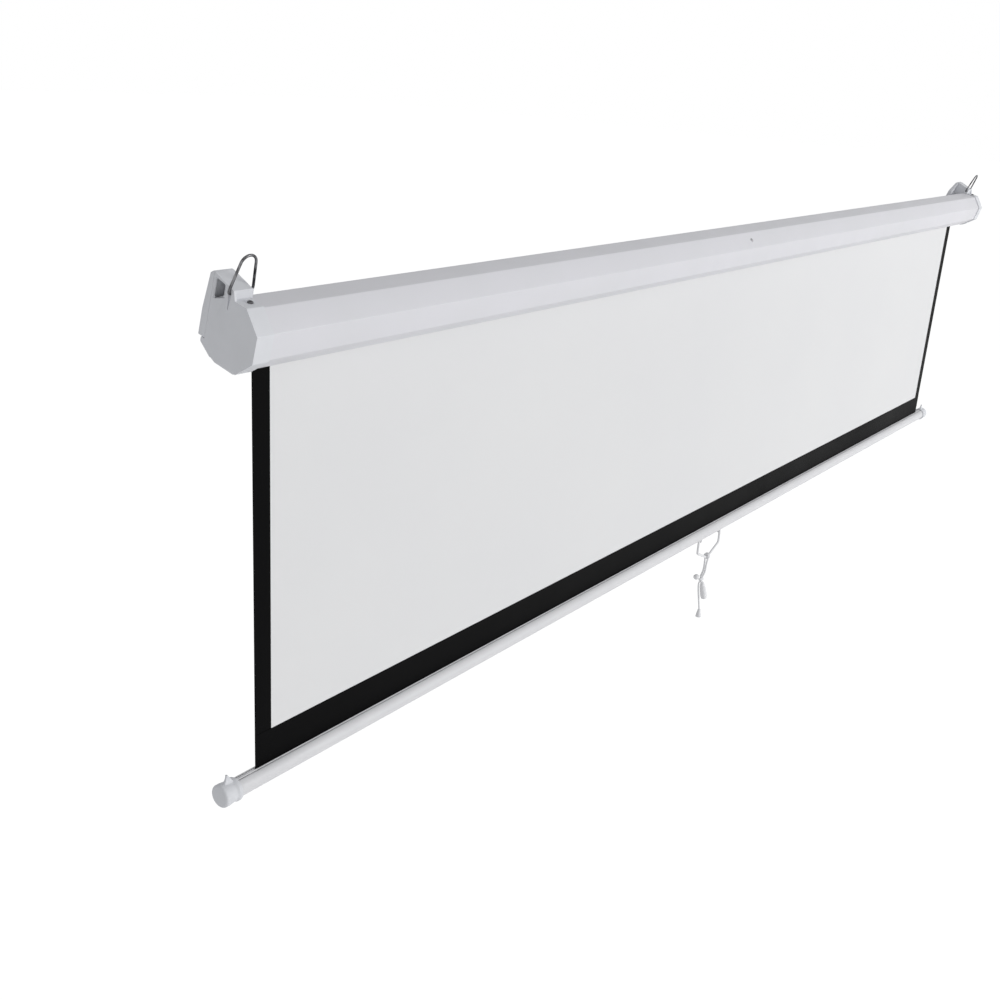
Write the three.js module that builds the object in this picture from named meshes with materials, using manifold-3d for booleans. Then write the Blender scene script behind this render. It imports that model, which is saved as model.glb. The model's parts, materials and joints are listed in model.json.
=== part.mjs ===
// A manual pull down projector screen: a spring roller in an octagonal steel case, a white sheet
// with a black border, and a round weight bar with a hanging pull handle and cord.
// Millimetres. +X runs along the case, +Y away from the viewer, +Z up. The origin lies on the line
// through the pivots of the two wire loops that hang the case up. The case rolls forward under
// these loops until its axis hangs plumb below them, and the sheet drops plumb.
import * as THREE from 'three';
import { ConvexGeometry } from 'three/addons/geometries/ConvexGeometry.js';
import { mergeVertices } from 'three/addons/utils/BufferGeometryUtils.js';
import Module from 'manifold-3d';

const wasm = await Module();
wasm.setup();

// Picture and sheet
const picture_width = 2214;            // white width of a 100 inch 16:9 picture
const border_side = 25;                // black band down each side
const border_bottom = 43.4;            // black band above the weight bar
const sheet_thickness = 0.6;
const border_coat = 0.15;              // black coat on the face of the sheet
const bar_drop = 531;                  // case axis down to the bar's axis, as photographed

// Case
const case_half_flat = 34;             // half the distance across the octagon's flats
const case_corner = 2.2;
const shell_wall = 1;
const shell_slot = 8;                  // bottom slot that the sheet leaves by
const shell_lip = 5;                   // folded edge on each side of that slot
const hang_tilt = THREE.MathUtils.degToRad(14.8);
const rivet_from_middle = 87.4;        // front rivet, left of the middle
const rivet_radius = 2.4;
const rivet_head = 1.2;
const rivet_head_radius = 3.4;
const rivet_tail = 3;

// End caps
const cap_past_sheet = 42;             // sheet's edge to the cap's outer face
const cap_face = 2.5;
const cap_collar = 22;
const cap_collar_wall = 1.4;
const cap_lip_depth = 5.2;             // lip under the wall plate
const cap_lip_height = 4.8;
const cap_heel = 3.6;                  // cap's rear lower corner, past the octagon's
const cap_foot_drop = 2.4;             // the cap's underside stands lower than the octagon
const cap_foot_front = 9;              // and does so from here on, forward of the axis
const gusset_foot = 1.5;
const gusset_front = 6;
const gusset_front_over_cap = 9.3;
const gusset_over_cap = 16.6;
const gusset_window_under_top = 4.8;
const gusset_window_tall = 21.5;
const gusset_window_wide = 13;
const gusset_window_rise = 7.5;        // the window's lower edge climbs forward by this
const gusset_window_fall = 2.5;        // and its upper edge falls forward by this
const gusset_window_rim = 2.5;         // between the window and the wall plate
const gusset_window_corner = 1.8;
const loop_pivot_over_cap = 4.3;
const loop_slit = 2;                   // moulded slit under the loop's pivot
const loop_slit_length = 17.5;
const ear_from_face = 4.5;             // block that carries the wire loop
const ear_length = 21.5;
const ear_depth = 9;
const ear_over_pivot = 4.4;
const socket_radius = 9;
const socket_depth = 9;
const cap_corner = 1.3;

// Wall plates
const plate_thickness = 9.3;
const plate_head_thickness = 5.4;      // the back leans away from the wall up to this
const plate_flat_up = 10;              // and is flat below this height
const plate_head_bevel = 3;
const plate_base = 50;
const plate_top = 24;
const plate_bottom = -19;
const plate_shoulder_drop = 21.3;      // top edge down to the slanted corner
const plate_corner = 1.5;
const keyhole_from_edge = 29;
const keyhole_head = 4.6;
const keyhole_neck = 2.4;
const keyhole_under_top = 10.3;
const keyhole_travel = 12.5;
const plate_screw_from_edge = 12.5;
const plate_screw_rows = [-10, 6];
const plate_screw_seat = 2.3;          // plate left under the screw heads

// Screws
const screw_shank = 1.5;
const screw_head = 3.1;
const screw_head_height = 1.7;
const screw_past = 3;                  // shank standing inside the shell
const screw_room = 0.4;                // hole radius over shank radius
const cap_screw_in = 13.5;             // collar screw, in from the cap's face
const cap_screw_forward = 4.7;

// Wire loops
const wire = 1.5;                      // radius of the wire
const loop_height = 41.1;
const loop_shoulder = 8.2;             // half the flat of the loop's top, before it is bent round
const loop_bend = 2.6;
const loop_straight = 5.6;             // the legs lean in above this height
const loop_foot = 7;
const loop_lean = THREE.MathUtils.degToRad(7);

// Spring roller
const roll_radius = 16.8;              // sheet still wound on the tube, outside
const tube_radius = 13.5;
const tube_wall = 1;
const tube_past_sheet = 2;
const plug_flange = 15.2;
const plug_flange_length = 4;
const plug_spigot = 22;
const spindle_radius = 3;
const spindle_past_anchor = 8;
const spade_half_width = 3.6;
const spade_half_thickness = 1.6;
const spring_outer = 9.4;
const spring_inner = 5.6;
const spring_length = 330;
const spring_collar_length = 10;
const spring_collar_radius = 6.5;
const anchor_length = 12;
const ratchet_radius = 7;
const ratchet_notch = 1.9;
const ratchet_notches = 4;
const ratchet_length = 4;
const pawl_pivot = 11;                 // pawl pin from the roller's axis
const pawl_reach = 7;
const pawl_thickness = 3;
const pawl_half_width = 1.1;
const pawl_eye = 2.3;
const pawl_slope = THREE.MathUtils.degToRad(-40);
const pawl_pin_radius = 1.2;
const pawl_pin_head = 2;
const pawl_pin_head_length = 1.2;
const idle_pin_radius = 3;
const idle_pin_flange = 5.5;
const idle_pin_flange_length = 2;
const bush_radius = 6;
const bush_length = 16;

// Weight bar
const bar_radius = 11.75;
const bar_wall = 1.2;
const bar_past_sheet = 46;
const bar_slot = 7.6;
const strip_neck = 3.6;                // strip that holds the sheet's hem in the bar's slot
const strip_foot = 10;
const strip_foot_top = 8.9;
const strip_foot_bottom = 7;
const strip_top = 11.5;
const strip_slit_floor = 8.2;
const bar_cap_past_sheet = 54;
const bar_cap_radius = 14;
const bar_cap_rim = 7;
const bar_cap_waist = 12.9;
const bar_cap_flange = 14.4;
const bar_cap_flange_length = 5.5;
const bar_cap_length = 24.5;
const bar_cap_edge = 1.6;
const fin_height = 9.5;                // peaked fin on top of the cap
const fin_foot = 15;
const fin_crest_thickness = 3;
const fin_from_face = 2.5;
const fin_slope = 7.4;
const fin_crest = 2.4;

// Pull handle
const eye_from_middle = 37.3;
const eye_width = 4;
const eye_depth = 7;
const eye_below = 7.4;                 // eye's lowest face under the bar
const eye_peg_radius = 2.2;
const eye_peg_past = 1.5;
const handle_rod = 2.2;
const handle_half_width = 42;
const handle_leg = 25;                 // straight leg under the pivot
const handle_deep = 41.5;              // pivot down to the handle's lowest run
const handle_grip = 7;                 // half the lowest run
const handle_bend = 4;
const handle_foot = 6;
const handle_foot_bend = 3;
const handle_pivot_below = 3.6;        // pivot under the bar's lowest line

// Pull cord and what hangs on it
const cord_radius = 1.75;
const cord_sides = 8;
const knot_radius = 5;
const bead_radius = 5.5;
const toggle_length = 35;
const toggle_neck = 1.7;
const toggle_radius = 6.3;
const toggle_belly_shares = [          // radius and height up to the toggle's neck
  [0.55, 0.02], [0.93, 0.1], [1, 0.2], [0.82, 0.42], [0.5, 0.68],
];
const toggle_neck_share = 0.86;        // the neck starts this far up
const tail_knob_length = 15;
const tail_knob_neck = 2.6;
const tail_knob_radius = 5.4;
const tail_knob_shares = [             // radius and depth up to the knob's neck
  [0.85, 1], [1, 0.85], [0.82, 0.4],
];

// Running and seating clearances
const seat = 0.3;
const running = 0.4;
const overrun = 2;                     // cutters reach this far past what they cut

// Sizes that follow
const sheet_half = picture_width / 2 + border_side;
const octagon_share = Math.tan(Math.PI / 8);
const cap_half = sheet_half + cap_past_sheet;
const cap_inner = case_half_flat + seat;
const cap_outer = cap_inner + cap_collar_wall;
const gusset_front_up = cap_outer + gusset_front_over_cap;
const gusset_up = cap_outer + gusset_over_cap;
const loop_pivot_up = cap_outer + loop_pivot_over_cap;
const loop_pivot_back = loop_pivot_up * Math.tan(hang_tilt);
const case_axis_z = -loop_pivot_up / Math.cos(hang_tilt);
const cap_lip_top = plate_bottom - seat;
const plate_front = cap_outer + seat;
const plate_back = plate_front + plate_thickness;
const screw_hole = screw_shank + screw_room;
const screw_end = case_half_flat - shell_wall - screw_past;
const cap_screw_x = cap_half - cap_screw_in;
const plate_screw_x = cap_half - plate_screw_from_edge;
const shell_half = cap_half - cap_face - seat;
const sheet_front = roll_radius + seat;
const sheet_middle = sheet_front + sheet_thickness / 2;
const slot_middle = (sheet_middle - case_half_flat * Math.sin(hang_tilt)) / Math.cos(hang_tilt);
const slot_z = case_axis_z + slot_middle * Math.sin(hang_tilt) - case_half_flat * Math.cos(hang_tilt);
const bar_z = case_axis_z - bar_drop;
const border_top_z = bar_z + bar_radius + border_bottom;

// Materials
const finish = (color, roughness, metalness) =>
  new THREE.MeshStandardMaterial({ color, roughness, metalness });
const case_white = finish(0xdcdce0, 0.35, 0.1);
const cap_white = finish(0xc9ccd4, 0.5, 0);
const plate_white = finish(0xbfc2ca, 0.5, 0);
const bar_white = finish(0xe2e2e4, 0.35, 0.1);
const part_white = finish(0xeeeeee, 0.4, 0);
const sheet_white = finish(0xececec, 0.8, 0);
const border_black = finish(0x101012, 0.85, 0);
const steel = finish(0x8b8d90, 0.35, 0.9);
const dark_steel = finish(0x3a3b3e, 0.4, 0.9);
const brass = finish(0xb08d4a, 0.4, 0.9);
const cord_white = finish(0xe6e6e6, 0.85, 0);

// Shapes and solids

// Merged positions, without the triangles that shrink to a line on a turned shape's axis.
function positions_only(geometry) {
  const bare = geometry.clone();
  bare.deleteAttribute('normal');
  bare.deleteAttribute('uv');
  const merged = mergeVertices(bare);
  const index = merged.getIndex().array;
  const kept = [];
  for (let i = 0; i < index.length; i += 3) {
    const [a, b, c] = index.slice(i, i + 3);
    if (a !== b && b !== c && c !== a) {
      kept.push(a, b, c);
    }
  }
  merged.setIndex(kept);
  return merged;
}

function solid(geometry) {
  const merged = positions_only(geometry);
  const vertProperties = new Float32Array(merged.getAttribute('position').array);
  const triVerts = new Uint32Array(merged.getIndex().array);
  return new wasm.Manifold(new wasm.Mesh({ numProp: 3, vertProperties, triVerts }));
}

function geometry_of(body) {
  const mesh = body.getMesh();
  const geometry = new THREE.BufferGeometry();
  geometry.setAttribute('position', new THREE.BufferAttribute(mesh.vertProperties, 3));
  geometry.setIndex(new THREE.BufferAttribute(mesh.triVerts, 1));
  return geometry;
}

// The first geometry with the others joined to it.
function join(first, ...others) {
  return geometry_of(others.reduce((sum, other) => sum.add(solid(other)), solid(first)));
}

// The first geometry with the others cut out of it.
function cut(first, ...others) {
  return geometry_of(others.reduce((rest, other) => rest.subtract(solid(other)), solid(first)));
}

function mirrored(geometry) {
  const copy = positions_only(geometry);
  copy.scale(-1, 1, 1);
  const index = copy.getIndex();
  for (let i = 0; i < index.count; i += 3) {
    const first = index.getX(i);
    index.setX(i, index.getX(i + 2));
    index.setX(i + 2, first);
  }
  return copy;
}

const point = (x, y) => new THREE.Vector2(x, y);

// A closed outline whose corners are turned with one radius, apart from the ones named as sharp.
function rounded(corners, radius, steps = 3, sharp = []) {
  const points = [];
  corners.forEach((corner, i) => {
    if (sharp.includes(corner)) {
      points.push(corner);
      return;
    }
    const before = corners[(i + corners.length - 1) % corners.length];
    const after = corners[(i + 1) % corners.length];
    const into = corner.clone().sub(before).normalize();
    const out = after.clone().sub(corner).normalize();
    const turn = Math.atan2(into.cross(out), into.dot(out));
    const setback = radius * Math.tan(Math.abs(turn) / 2);
    const start = corner.clone().addScaledVector(into, -setback);
    const side = point(-into.y, into.x).multiplyScalar(Math.sign(turn) * radius);
    const centre = start.clone().add(side);
    for (let k = 0; k <= steps; k += 1) {
      points.push(start.clone().rotateAround(centre, (turn * k) / steps));
    }
  });
  return points;
}

function octagon(half_flat) {
  const corner_radius = half_flat / Math.cos(Math.PI / 8);
  return Array.from({ length: 8 }, (_, i) => {
    const angle = Math.PI / 8 + (i * Math.PI) / 4;
    return point(corner_radius * Math.cos(angle), corner_radius * Math.sin(angle));
  });
}

function circle(radius, segments, middle = point(0, 0)) {
  return Array.from({ length: segments }, (_, i) => {
    const angle = (2 * Math.PI * i) / segments;
    return point(middle.x + radius * Math.cos(angle), middle.y + radius * Math.sin(angle));
  });
}

function rectangle(low_x, high_x, low_y, high_y) {
  return [point(low_x, low_y), point(high_x, low_y), point(high_x, high_y), point(low_x, high_y)];
}

function extruded(outline, holes, depth) {
  const shape = new THREE.Shape(outline);
  shape.holes = holes.map((hole) => new THREE.Path(hole));
  return new THREE.ExtrudeGeometry(shape, { depth, bevelEnabled: false });
}

// An outline drawn in (Y, Z), run along X from one place to another.
function along_x(outline, from, to, holes = []) {
  const turn = new THREE.Matrix4().set(0, 0, 1, from, 1, 0, 0, 0, 0, 1, 0, 0, 0, 0, 0, 1);
  return extruded(outline, holes, to - from).applyMatrix4(turn);
}

// An outline drawn in (X, Z), run along Y from one place to another.
function along_y(outline, from, to, holes = []) {
  const turn = new THREE.Matrix4().set(1, 0, 0, 0, 0, 0, -1, to, 0, 1, 0, 0, 0, 0, 0, 1);
  return extruded(outline, holes, to - from).applyMatrix4(turn);
}

// An outline drawn in (X, Y), run along Z from one place to another.
function along_z(outline, from, to, holes = []) {
  return extruded(outline, holes, to - from).translate(0, 0, from);
}

// A profile of (radius, X) points, on the axis at both ends or closed, turned about the X axis.
function turned(profile, segments = 32) {
  const turn = new THREE.Matrix4().set(0, 1, 0, 0, 0, 0, 1, 0, 1, 0, 0, 0, 0, 0, 0, 1);
  return new THREE.LatheGeometry(profile, segments).applyMatrix4(turn);
}

function rod(radius, from, to, segments = 24) {
  return along_x(circle(radius, segments), from, to);
}

function sleeve(outer, inner, from, to, segments = 32) {
  return along_x(circle(outer, segments), from, to, [circle(inner, segments)]);
}

function swept(radius, path, sides, steps) {
  const section = new THREE.Shape(circle(radius, sides));
  return new THREE.ExtrudeGeometry(section, { steps, extrudePath: path });
}

// A round rod in the XZ plane through (X, Z) corners, each bent with its own setback.
function bent_rod(radius, corners, bends, sides, steps) {
  const path = new THREE.CurvePath();
  const at = corners.map((corner) => new THREE.Vector3(corner.x, 0, corner.y));
  let from = at[0];
  for (let i = 1; i < at.length - 1; i += 1) {
    const into = at[i].clone().sub(at[i - 1]).normalize();
    const out = at[i + 1].clone().sub(at[i]).normalize();
    const start = at[i].clone().addScaledVector(into, -bends[i - 1]);
    const end = at[i].clone().addScaledVector(out, bends[i - 1]);
    path.add(new THREE.LineCurve3(from, start));
    path.add(new THREE.QuadraticBezierCurve3(start, at[i], end));
    from = end;
  }
  path.add(new THREE.LineCurve3(from, at[at.length - 1]));
  return swept(radius, path, sides, steps);
}

// A screw whose head rests on Z = 0 and whose shank runs down.
function screw(shank_length) {
  const crown_share = 0.62;
  const rim_share = 0.45;
  const profile = [
    point(0, -shank_length),
    point(screw_shank, -shank_length + screw_shank),
    point(screw_shank, 0),
    point(screw_head, 0),
    point(screw_head, screw_head_height * rim_share),
    point(screw_head * crown_share, screw_head_height),
    point(0, screw_head_height),
  ];
  return new THREE.LatheGeometry(profile, 16).rotateX(Math.PI / 2);
}

// Hole cutters of one radius, from the case's axis up or back through a wall.
function hole_up(radius, x, y, wall) {
  return along_z(circle(radius, 16, point(x, y)), 0, wall + overrun);
}

function hole_back(radius, x, z, wall) {
  return along_y(circle(radius, 16, point(x, z)), 0, wall + overrun);
}

const part = new THREE.Group();
const case_group = new THREE.Group();
case_group.position.z = case_axis_z;
case_group.rotation.x = hang_tilt;
part.add(case_group);

function place(group, name, geometry, material) {
  const mesh = new THREE.Mesh(geometry, material);
  mesh.name = name;
  group.add(mesh);
  return mesh;
}

// The right-hand geometry goes in as it is and the left-hand one mirrored.
function place_pair(group, name, geometry, material) {
  return [
    place(group, `left_${name}`, mirrored(geometry), material),
    place(group, `right_${name}`, geometry, material),
  ];
}

// The case: a rolled steel octagon, open at the slot, with folded lips.
function case_shell() {
  const outer = rounded(octagon(case_half_flat), case_corner);
  const inner = rounded(octagon(case_half_flat - shell_wall), case_corner - shell_wall);
  const floor = -case_half_flat;
  const slot_low = slot_middle - shell_slot / 2;
  const slot_high = slot_middle + shell_slot / 2;
  const slot = along_x(
    rectangle(slot_low, slot_high, floor - overrun, floor + shell_wall + overrun),
    -shell_half - overrun,
    shell_half + overrun,
  );
  const lip = (from) => along_x(
    rectangle(from, from + shell_wall, floor + shell_wall / 2, floor + shell_lip),
    -shell_half,
    shell_half,
  );
  const holes = [-1, 1].flatMap((side) => [
    hole_up(screw_hole, side * cap_screw_x, -cap_screw_forward, case_half_flat),
    ...plate_screw_rows.map((z) => hole_back(screw_hole, side * plate_screw_x, z, case_half_flat)),
  ]);
  const rivet_hole = hole_up(rivet_radius + seat, -rivet_from_middle, 0, case_half_flat)
    .rotateX(Math.PI / 4);
  const tube = cut(along_x(outer, -shell_half, shell_half, [inner]), slot, ...holes, rivet_hole);
  return join(tube, lip(slot_low - shell_wall), lip(slot_high));
}

// A dome-headed rivet in the middle of the case's upper front flat.
function front_rivet() {
  const dome_share = 0.6;
  const profile = [
    point(0, -shell_wall - rivet_tail),
    point(rivet_radius, -shell_wall - rivet_tail),
    point(rivet_radius, seat),
    point(rivet_head_radius, seat),
    point(rivet_head_radius * dome_share, seat + rivet_head * dome_share),
    point(0, seat + rivet_head),
  ];
  return new THREE.LatheGeometry(profile, 20)
    .rotateX(Math.PI / 2)
    .translate(-rivet_from_middle, 0, case_half_flat)
    .rotateX(Math.PI / 4);
}

// A moulded right-hand end cap: collar, face, gusset to the wall plate, ear and roller socket.
function end_cap(socket_hole) {
  const h = cap_outer;
  const t = cap_outer * octagon_share;
  const inside = cap_half - cap_face;
  const open_end = cap_half - cap_collar;
  const plate_seat = point(h, cap_lip_top);
  const outline = rounded([
    point(t + cap_heel, -h - cap_foot_drop),
    point(h + cap_lip_depth, cap_lip_top - cap_lip_height),
    point(h + cap_lip_depth, cap_lip_top),
    plate_seat,
    point(h, t),
    point(t, h),
    point(-t, h),
    point(-h, t),
    point(-h, -t),
    point(-t, -h),
    point(-cap_foot_front, -h - cap_foot_drop),
  ], cap_corner, 3, [plate_seat]);
  const cavity = along_x(rounded(octagon(cap_inner), case_corner), open_end - overrun, inside);
  const gusset = along_x([
    point(gusset_foot, h - cap_collar_wall),
    point(h, t - cap_collar_wall),
    point(h, gusset_up),
    point(gusset_front, gusset_front_up),
  ], inside, cap_half);
  const window_far = h - gusset_window_rim;
  const window_top = gusset_up - gusset_window_under_top;
  const window_near = window_far - gusset_window_wide;
  const window_foot = window_top - gusset_window_tall;
  const window = along_x(rounded([
    point(window_near, window_foot + gusset_window_rise),
    point(window_far, window_foot),
    point(window_far, window_top),
    point(window_near, window_top - gusset_window_fall),
  ], gusset_window_corner), inside - overrun, cap_half + overrun);
  const ear_outer = cap_half - ear_from_face;
  const ear = along_x(rectangle(
    loop_pivot_back - ear_depth / 2,
    loop_pivot_back + ear_depth / 2,
    cap_inner,
    loop_pivot_up + ear_over_pivot,
  ), ear_outer - ear_length, ear_outer);
  const pivot_hole = along_x(
    circle(wire + running, 16, point(loop_pivot_back, loop_pivot_up)),
    ear_outer - ear_length - overrun,
    cap_half + overrun,
  );
  const slit = along_x(rectangle(
    loop_pivot_back - loop_slit / 2,
    loop_pivot_back + loop_slit / 2,
    loop_pivot_up - loop_slit_length,
    loop_pivot_up,
  ), inside - overrun, cap_half + overrun);
  const socket = rod(socket_radius, inside - socket_depth, inside + cap_face / 2, 32);
  const holes = [
    hole_up(screw_hole, cap_screw_x, -cap_screw_forward, cap_outer),
    ...plate_screw_rows.map((z) => hole_back(screw_hole, plate_screw_x, z, cap_outer)),
  ];
  const hollow = cut(along_x(outline, open_end, cap_half), cavity);
  return cut(join(hollow, gusset, ear, socket), window, pivot_hole, slit, socket_hole, ...holes);
}

// A right-hand wall plate with a keyhole and pockets for its screw heads. Its back is flat below
// and leans in towards its bevelled top.
function wall_plate() {
  const outline = rounded([
    point(cap_half - plate_base, plate_bottom),
    point(cap_half, plate_bottom),
    point(cap_half, gusset_up),
    point(cap_half - plate_top, gusset_up),
    point(cap_half - plate_base, gusset_up - plate_shoulder_drop),
  ], plate_corner);
  const x = cap_half - keyhole_from_edge;
  const keyhole_high = gusset_up - keyhole_under_top;
  const keyhole_low = keyhole_high - keyhole_travel;
  const through = (shape) => along_y(shape, plate_front - overrun, plate_back + overrun);
  const neck = rounded(
    rectangle(x - keyhole_neck, x + keyhole_neck, keyhole_low, keyhole_high),
    keyhole_neck - seat,
    4,
  );
  const screw_holes = plate_screw_rows.flatMap((z) => [
    through(circle(screw_hole, 16, point(plate_screw_x, z))),
    along_y(
      circle(screw_head + screw_room, 16, point(plate_screw_x, z)),
      plate_front + plate_screw_seat,
      plate_back + overrun,
    ),
  ]);
  const head_back = plate_front + plate_head_thickness;
  const lean = along_x([
    point(plate_back, plate_flat_up),
    point(plate_back + overrun, plate_flat_up),
    point(plate_back + overrun, gusset_up + overrun),
    point(head_back - plate_head_bevel, gusset_up + overrun),
    point(head_back - plate_head_bevel, gusset_up),
    point(head_back, gusset_up - plate_head_bevel),
  ], cap_half - plate_base - overrun, cap_half + overrun);
  return cut(
    along_y(outline, plate_front, plate_back),
    lean,
    through(circle(keyhole_head, 24, point(x, keyhole_low))),
    through(neck),
    ...screw_holes,
  );
}

// A wire loop standing up from its pivot, which is the X axis here.
function wire_loop() {
  const outer = cap_half + running + wire;
  const inner = cap_half - ear_from_face - ear_length - running - wire;
  const middle = (outer + inner) / 2;
  const crown_share = 0.98;
  const crown = loop_shoulder * crown_share;
  return bent_rod(wire, [
    point(outer - loop_foot, 0),
    point(outer, 0),
    point(outer, loop_straight),
    point(middle + loop_shoulder, loop_height),
    point(middle - loop_shoulder, loop_height),
    point(inner, loop_straight),
    point(inner, 0),
    point(inner + loop_foot, 0),
  ], [loop_bend, loop_bend, crown, crown, loop_bend, loop_bend], 8, 52);
}

function place_case() {
  const inside = cap_half - cap_face;
  const socket_end = inside - socket_depth;
  const spade_slot = along_x(rectangle(
    -spade_half_width - seat,
    spade_half_width + seat,
    -spade_half_thickness - seat,
    spade_half_thickness + seat,
  ), socket_end - overrun, inside);
  const pin_hole = rod(idle_pin_radius + seat, socket_end - overrun, inside);
  place(case_group, 'case_shell', case_shell(), case_white);
  place(case_group, 'front_rivet', front_rivet(), dark_steel);
  place(case_group, 'left_end_cap', mirrored(end_cap(spade_slot)), cap_white);
  place(case_group, 'right_end_cap', end_cap(pin_hole), cap_white);
  place_pair(case_group, 'wall_plate', wall_plate(), plate_white);

  const cap_screw = screw(cap_outer + seat - screw_end)
    .translate(cap_screw_x, -cap_screw_forward, cap_outer + seat);
  place_pair(case_group, 'cap_screw', cap_screw, dark_steel);
  const pocket_floor = plate_front + plate_screw_seat + seat;
  plate_screw_rows.forEach((z, row) => {
    const plate_screw = screw(pocket_floor - screw_end)
      .rotateX(-Math.PI / 2)
      .translate(plate_screw_x, pocket_floor, z);
    place_pair(case_group, `plate_screw_${row + 1}`, plate_screw, dark_steel);
  });

  for (const loop of place_pair(case_group, 'hanging_loop', wire_loop(), dark_steel)) {
    loop.position.set(0, loop_pivot_back, loop_pivot_up);
    loop.rotation.x = loop_lean;
  }
}

// The spring roller. Its spring and ratchet are at the left end, its plain pin at the right.
function place_roller() {
  const tube_half = sheet_half + tube_past_sheet;
  const tube_bore = tube_radius - tube_wall;
  const flange_inner = tube_half + seat;
  const flange_outer = flange_inner + plug_flange_length;
  const spigot_end = flange_inner - plug_spigot;
  const shaft_hole = spindle_radius + running;

  place(case_group, 'roller_tube', sleeve(tube_radius, tube_bore, -tube_half, tube_half), steel);
  place(
    case_group,
    'wound_sheet',
    sleeve(roll_radius, tube_radius + seat, -sheet_half, sheet_half),
    sheet_white,
  );

  const plug = (bore, bore_depth) => turned([
    point(bore, flange_outer - bore_depth),
    point(bore, spigot_end),
    point(tube_bore - seat, spigot_end),
    point(tube_bore - seat, flange_inner),
    point(plug_flange, flange_inner),
    point(plug_flange, flange_outer),
    point(bore, flange_outer),
    point(bore, flange_outer - bore_depth),
  ]);
  const pin_places = [0, Math.PI].map((angle) => point(0, pawl_pivot).rotateAround(point(0, 0), angle));
  const pin_holes = pin_places.map((at) => along_x(
    circle(pawl_pin_radius + seat, 12, at),
    flange_outer - plug_flange_length / 2 - seat,
    flange_outer + overrun,
  ));
  place(
    case_group,
    'spring_plug',
    mirrored(cut(plug(shaft_hole, plug_flange_length), ...pin_holes)),
    part_white,
  );
  place(case_group, 'idle_plug', plug(bush_radius + seat, plug_flange_length), part_white);
  place(
    case_group,
    'idle_bush',
    sleeve(bush_radius, idle_pin_radius + running, flange_outer - bush_length, flange_outer, 24),
    brass,
  );

  const socket_end = cap_half - cap_face - socket_depth;
  const idle_flange = socket_end - seat;
  const idle_pin = join(
    rod(idle_pin_radius, flange_outer - bush_length, cap_half - cap_face - seat),
    rod(idle_pin_flange, idle_flange - idle_pin_flange_length, idle_flange),
  );
  place(case_group, 'idle_pin', idle_pin, steel);

  const collar_start = -spigot_end + seat;
  const spring_start = collar_start + spring_collar_length + seat;
  const anchor_start = spring_start + spring_length + seat;
  const anchor_end = anchor_start + anchor_length;
  place(
    case_group,
    'spring_collar',
    sleeve(spring_collar_radius, spindle_radius + seat, collar_start, spring_start - seat, 24),
    steel,
  );
  place(
    case_group,
    'torsion_spring',
    sleeve(spring_outer, spring_inner, spring_start, spring_start + spring_length, 24),
    dark_steel,
  );
  place(
    case_group,
    'spring_anchor',
    sleeve(tube_bore - seat, shaft_hole, anchor_start, anchor_end, 24),
    part_white,
  );
  const spade = along_x(rectangle(
    -spade_half_width,
    spade_half_width,
    -spade_half_thickness,
    spade_half_thickness,
  ), -cap_half + cap_face + seat, -socket_end + seat);
  const spindle = join(rod(spindle_radius, -socket_end, anchor_end + spindle_past_anchor), spade);
  place(case_group, 'spring_spindle', spindle, steel);

  const disc_start = -flange_outer - seat - ratchet_length;
  const disc = sleeve(ratchet_radius, spindle_radius + seat, disc_start, -flange_outer - seat, 32);
  const notches = Array.from({ length: ratchet_notches }, (_, i) => along_x(
    rectangle(
      ratchet_radius - ratchet_notch,
      ratchet_radius + overrun,
      -ratchet_notch,
      ratchet_notch,
    ),
    disc_start - overrun,
    -flange_outer,
  ).rotateX((2 * Math.PI * i) / ratchet_notches));
  place(case_group, 'ratchet_disc', cut(disc, ...notches), steel);

  // Each pawl lies beside the disc, its tip just clear of the disc's rim.
  const pawl_face = -flange_outer - seat;
  const finger = rectangle(0, pawl_reach, -pawl_half_width, pawl_half_width)
    .map((corner) => corner.rotateAround(point(0, 0), pawl_slope));
  const pawl_back = pawl_face - pawl_thickness;
  const pawl = cut(
    join(
      along_x(circle(pawl_eye, 16), pawl_back, pawl_face),
      along_x(finger, pawl_back, pawl_face),
    ),
    rod(pawl_pin_radius + seat, pawl_back - overrun, pawl_face + overrun, 12),
  );
  const pin_end = -flange_outer + plug_flange_length / 2;
  const head_start = pawl_back - seat - pawl_pin_head_length;
  const pawl_pin = join(
    rod(pawl_pin_radius, head_start, pin_end, 12),
    rod(pawl_pin_head, head_start, pawl_back - seat, 16),
  );
  ['upper', 'lower'].forEach((name, i) => {
    for (const [kind, geometry, material] of [['pawl', pawl, steel], ['pawl_pin', pawl_pin, brass]]) {
      const mesh = place(case_group, `${name}_${kind}`, geometry, material);
      mesh.position.set(0, pin_places[i].x, pin_places[i].y);
      mesh.rotation.x = i * Math.PI;
    }
  });
}

// The sheet: a short run inside the case, the hanging face, its coated borders and the lower band.
function place_sheet() {
  const back = sheet_front + sheet_thickness;
  const coat = sheet_front - border_coat;
  const split = seat / 2;
  const panel = (x_low, x_high, y_low, y_high, z_low, z_high) =>
    along_y(rectangle(x_low, x_high, z_low, z_high), y_low, y_high);
  const lower_edge = border_top_z + seat;
  place(
    part,
    'sheet_feed',
    panel(-sheet_half, sheet_half, sheet_front, back, slot_z + split, case_axis_z),
    sheet_white,
  );
  place(
    part,
    'screen_sheet',
    panel(-sheet_half, sheet_half, sheet_front, back, lower_edge, slot_z - split),
    sheet_white,
  );
  const side_band = panel(
    sheet_half - border_side,
    sheet_half,
    coat,
    sheet_front,
    lower_edge,
    slot_z - split,
  );
  place_pair(part, 'border', side_band, border_black);
  place(
    part,
    'bottom_border',
    panel(-sheet_half, sheet_half, coat, back, bar_z + strip_slit_floor + seat, border_top_z),
    border_black,
  );
}

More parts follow.
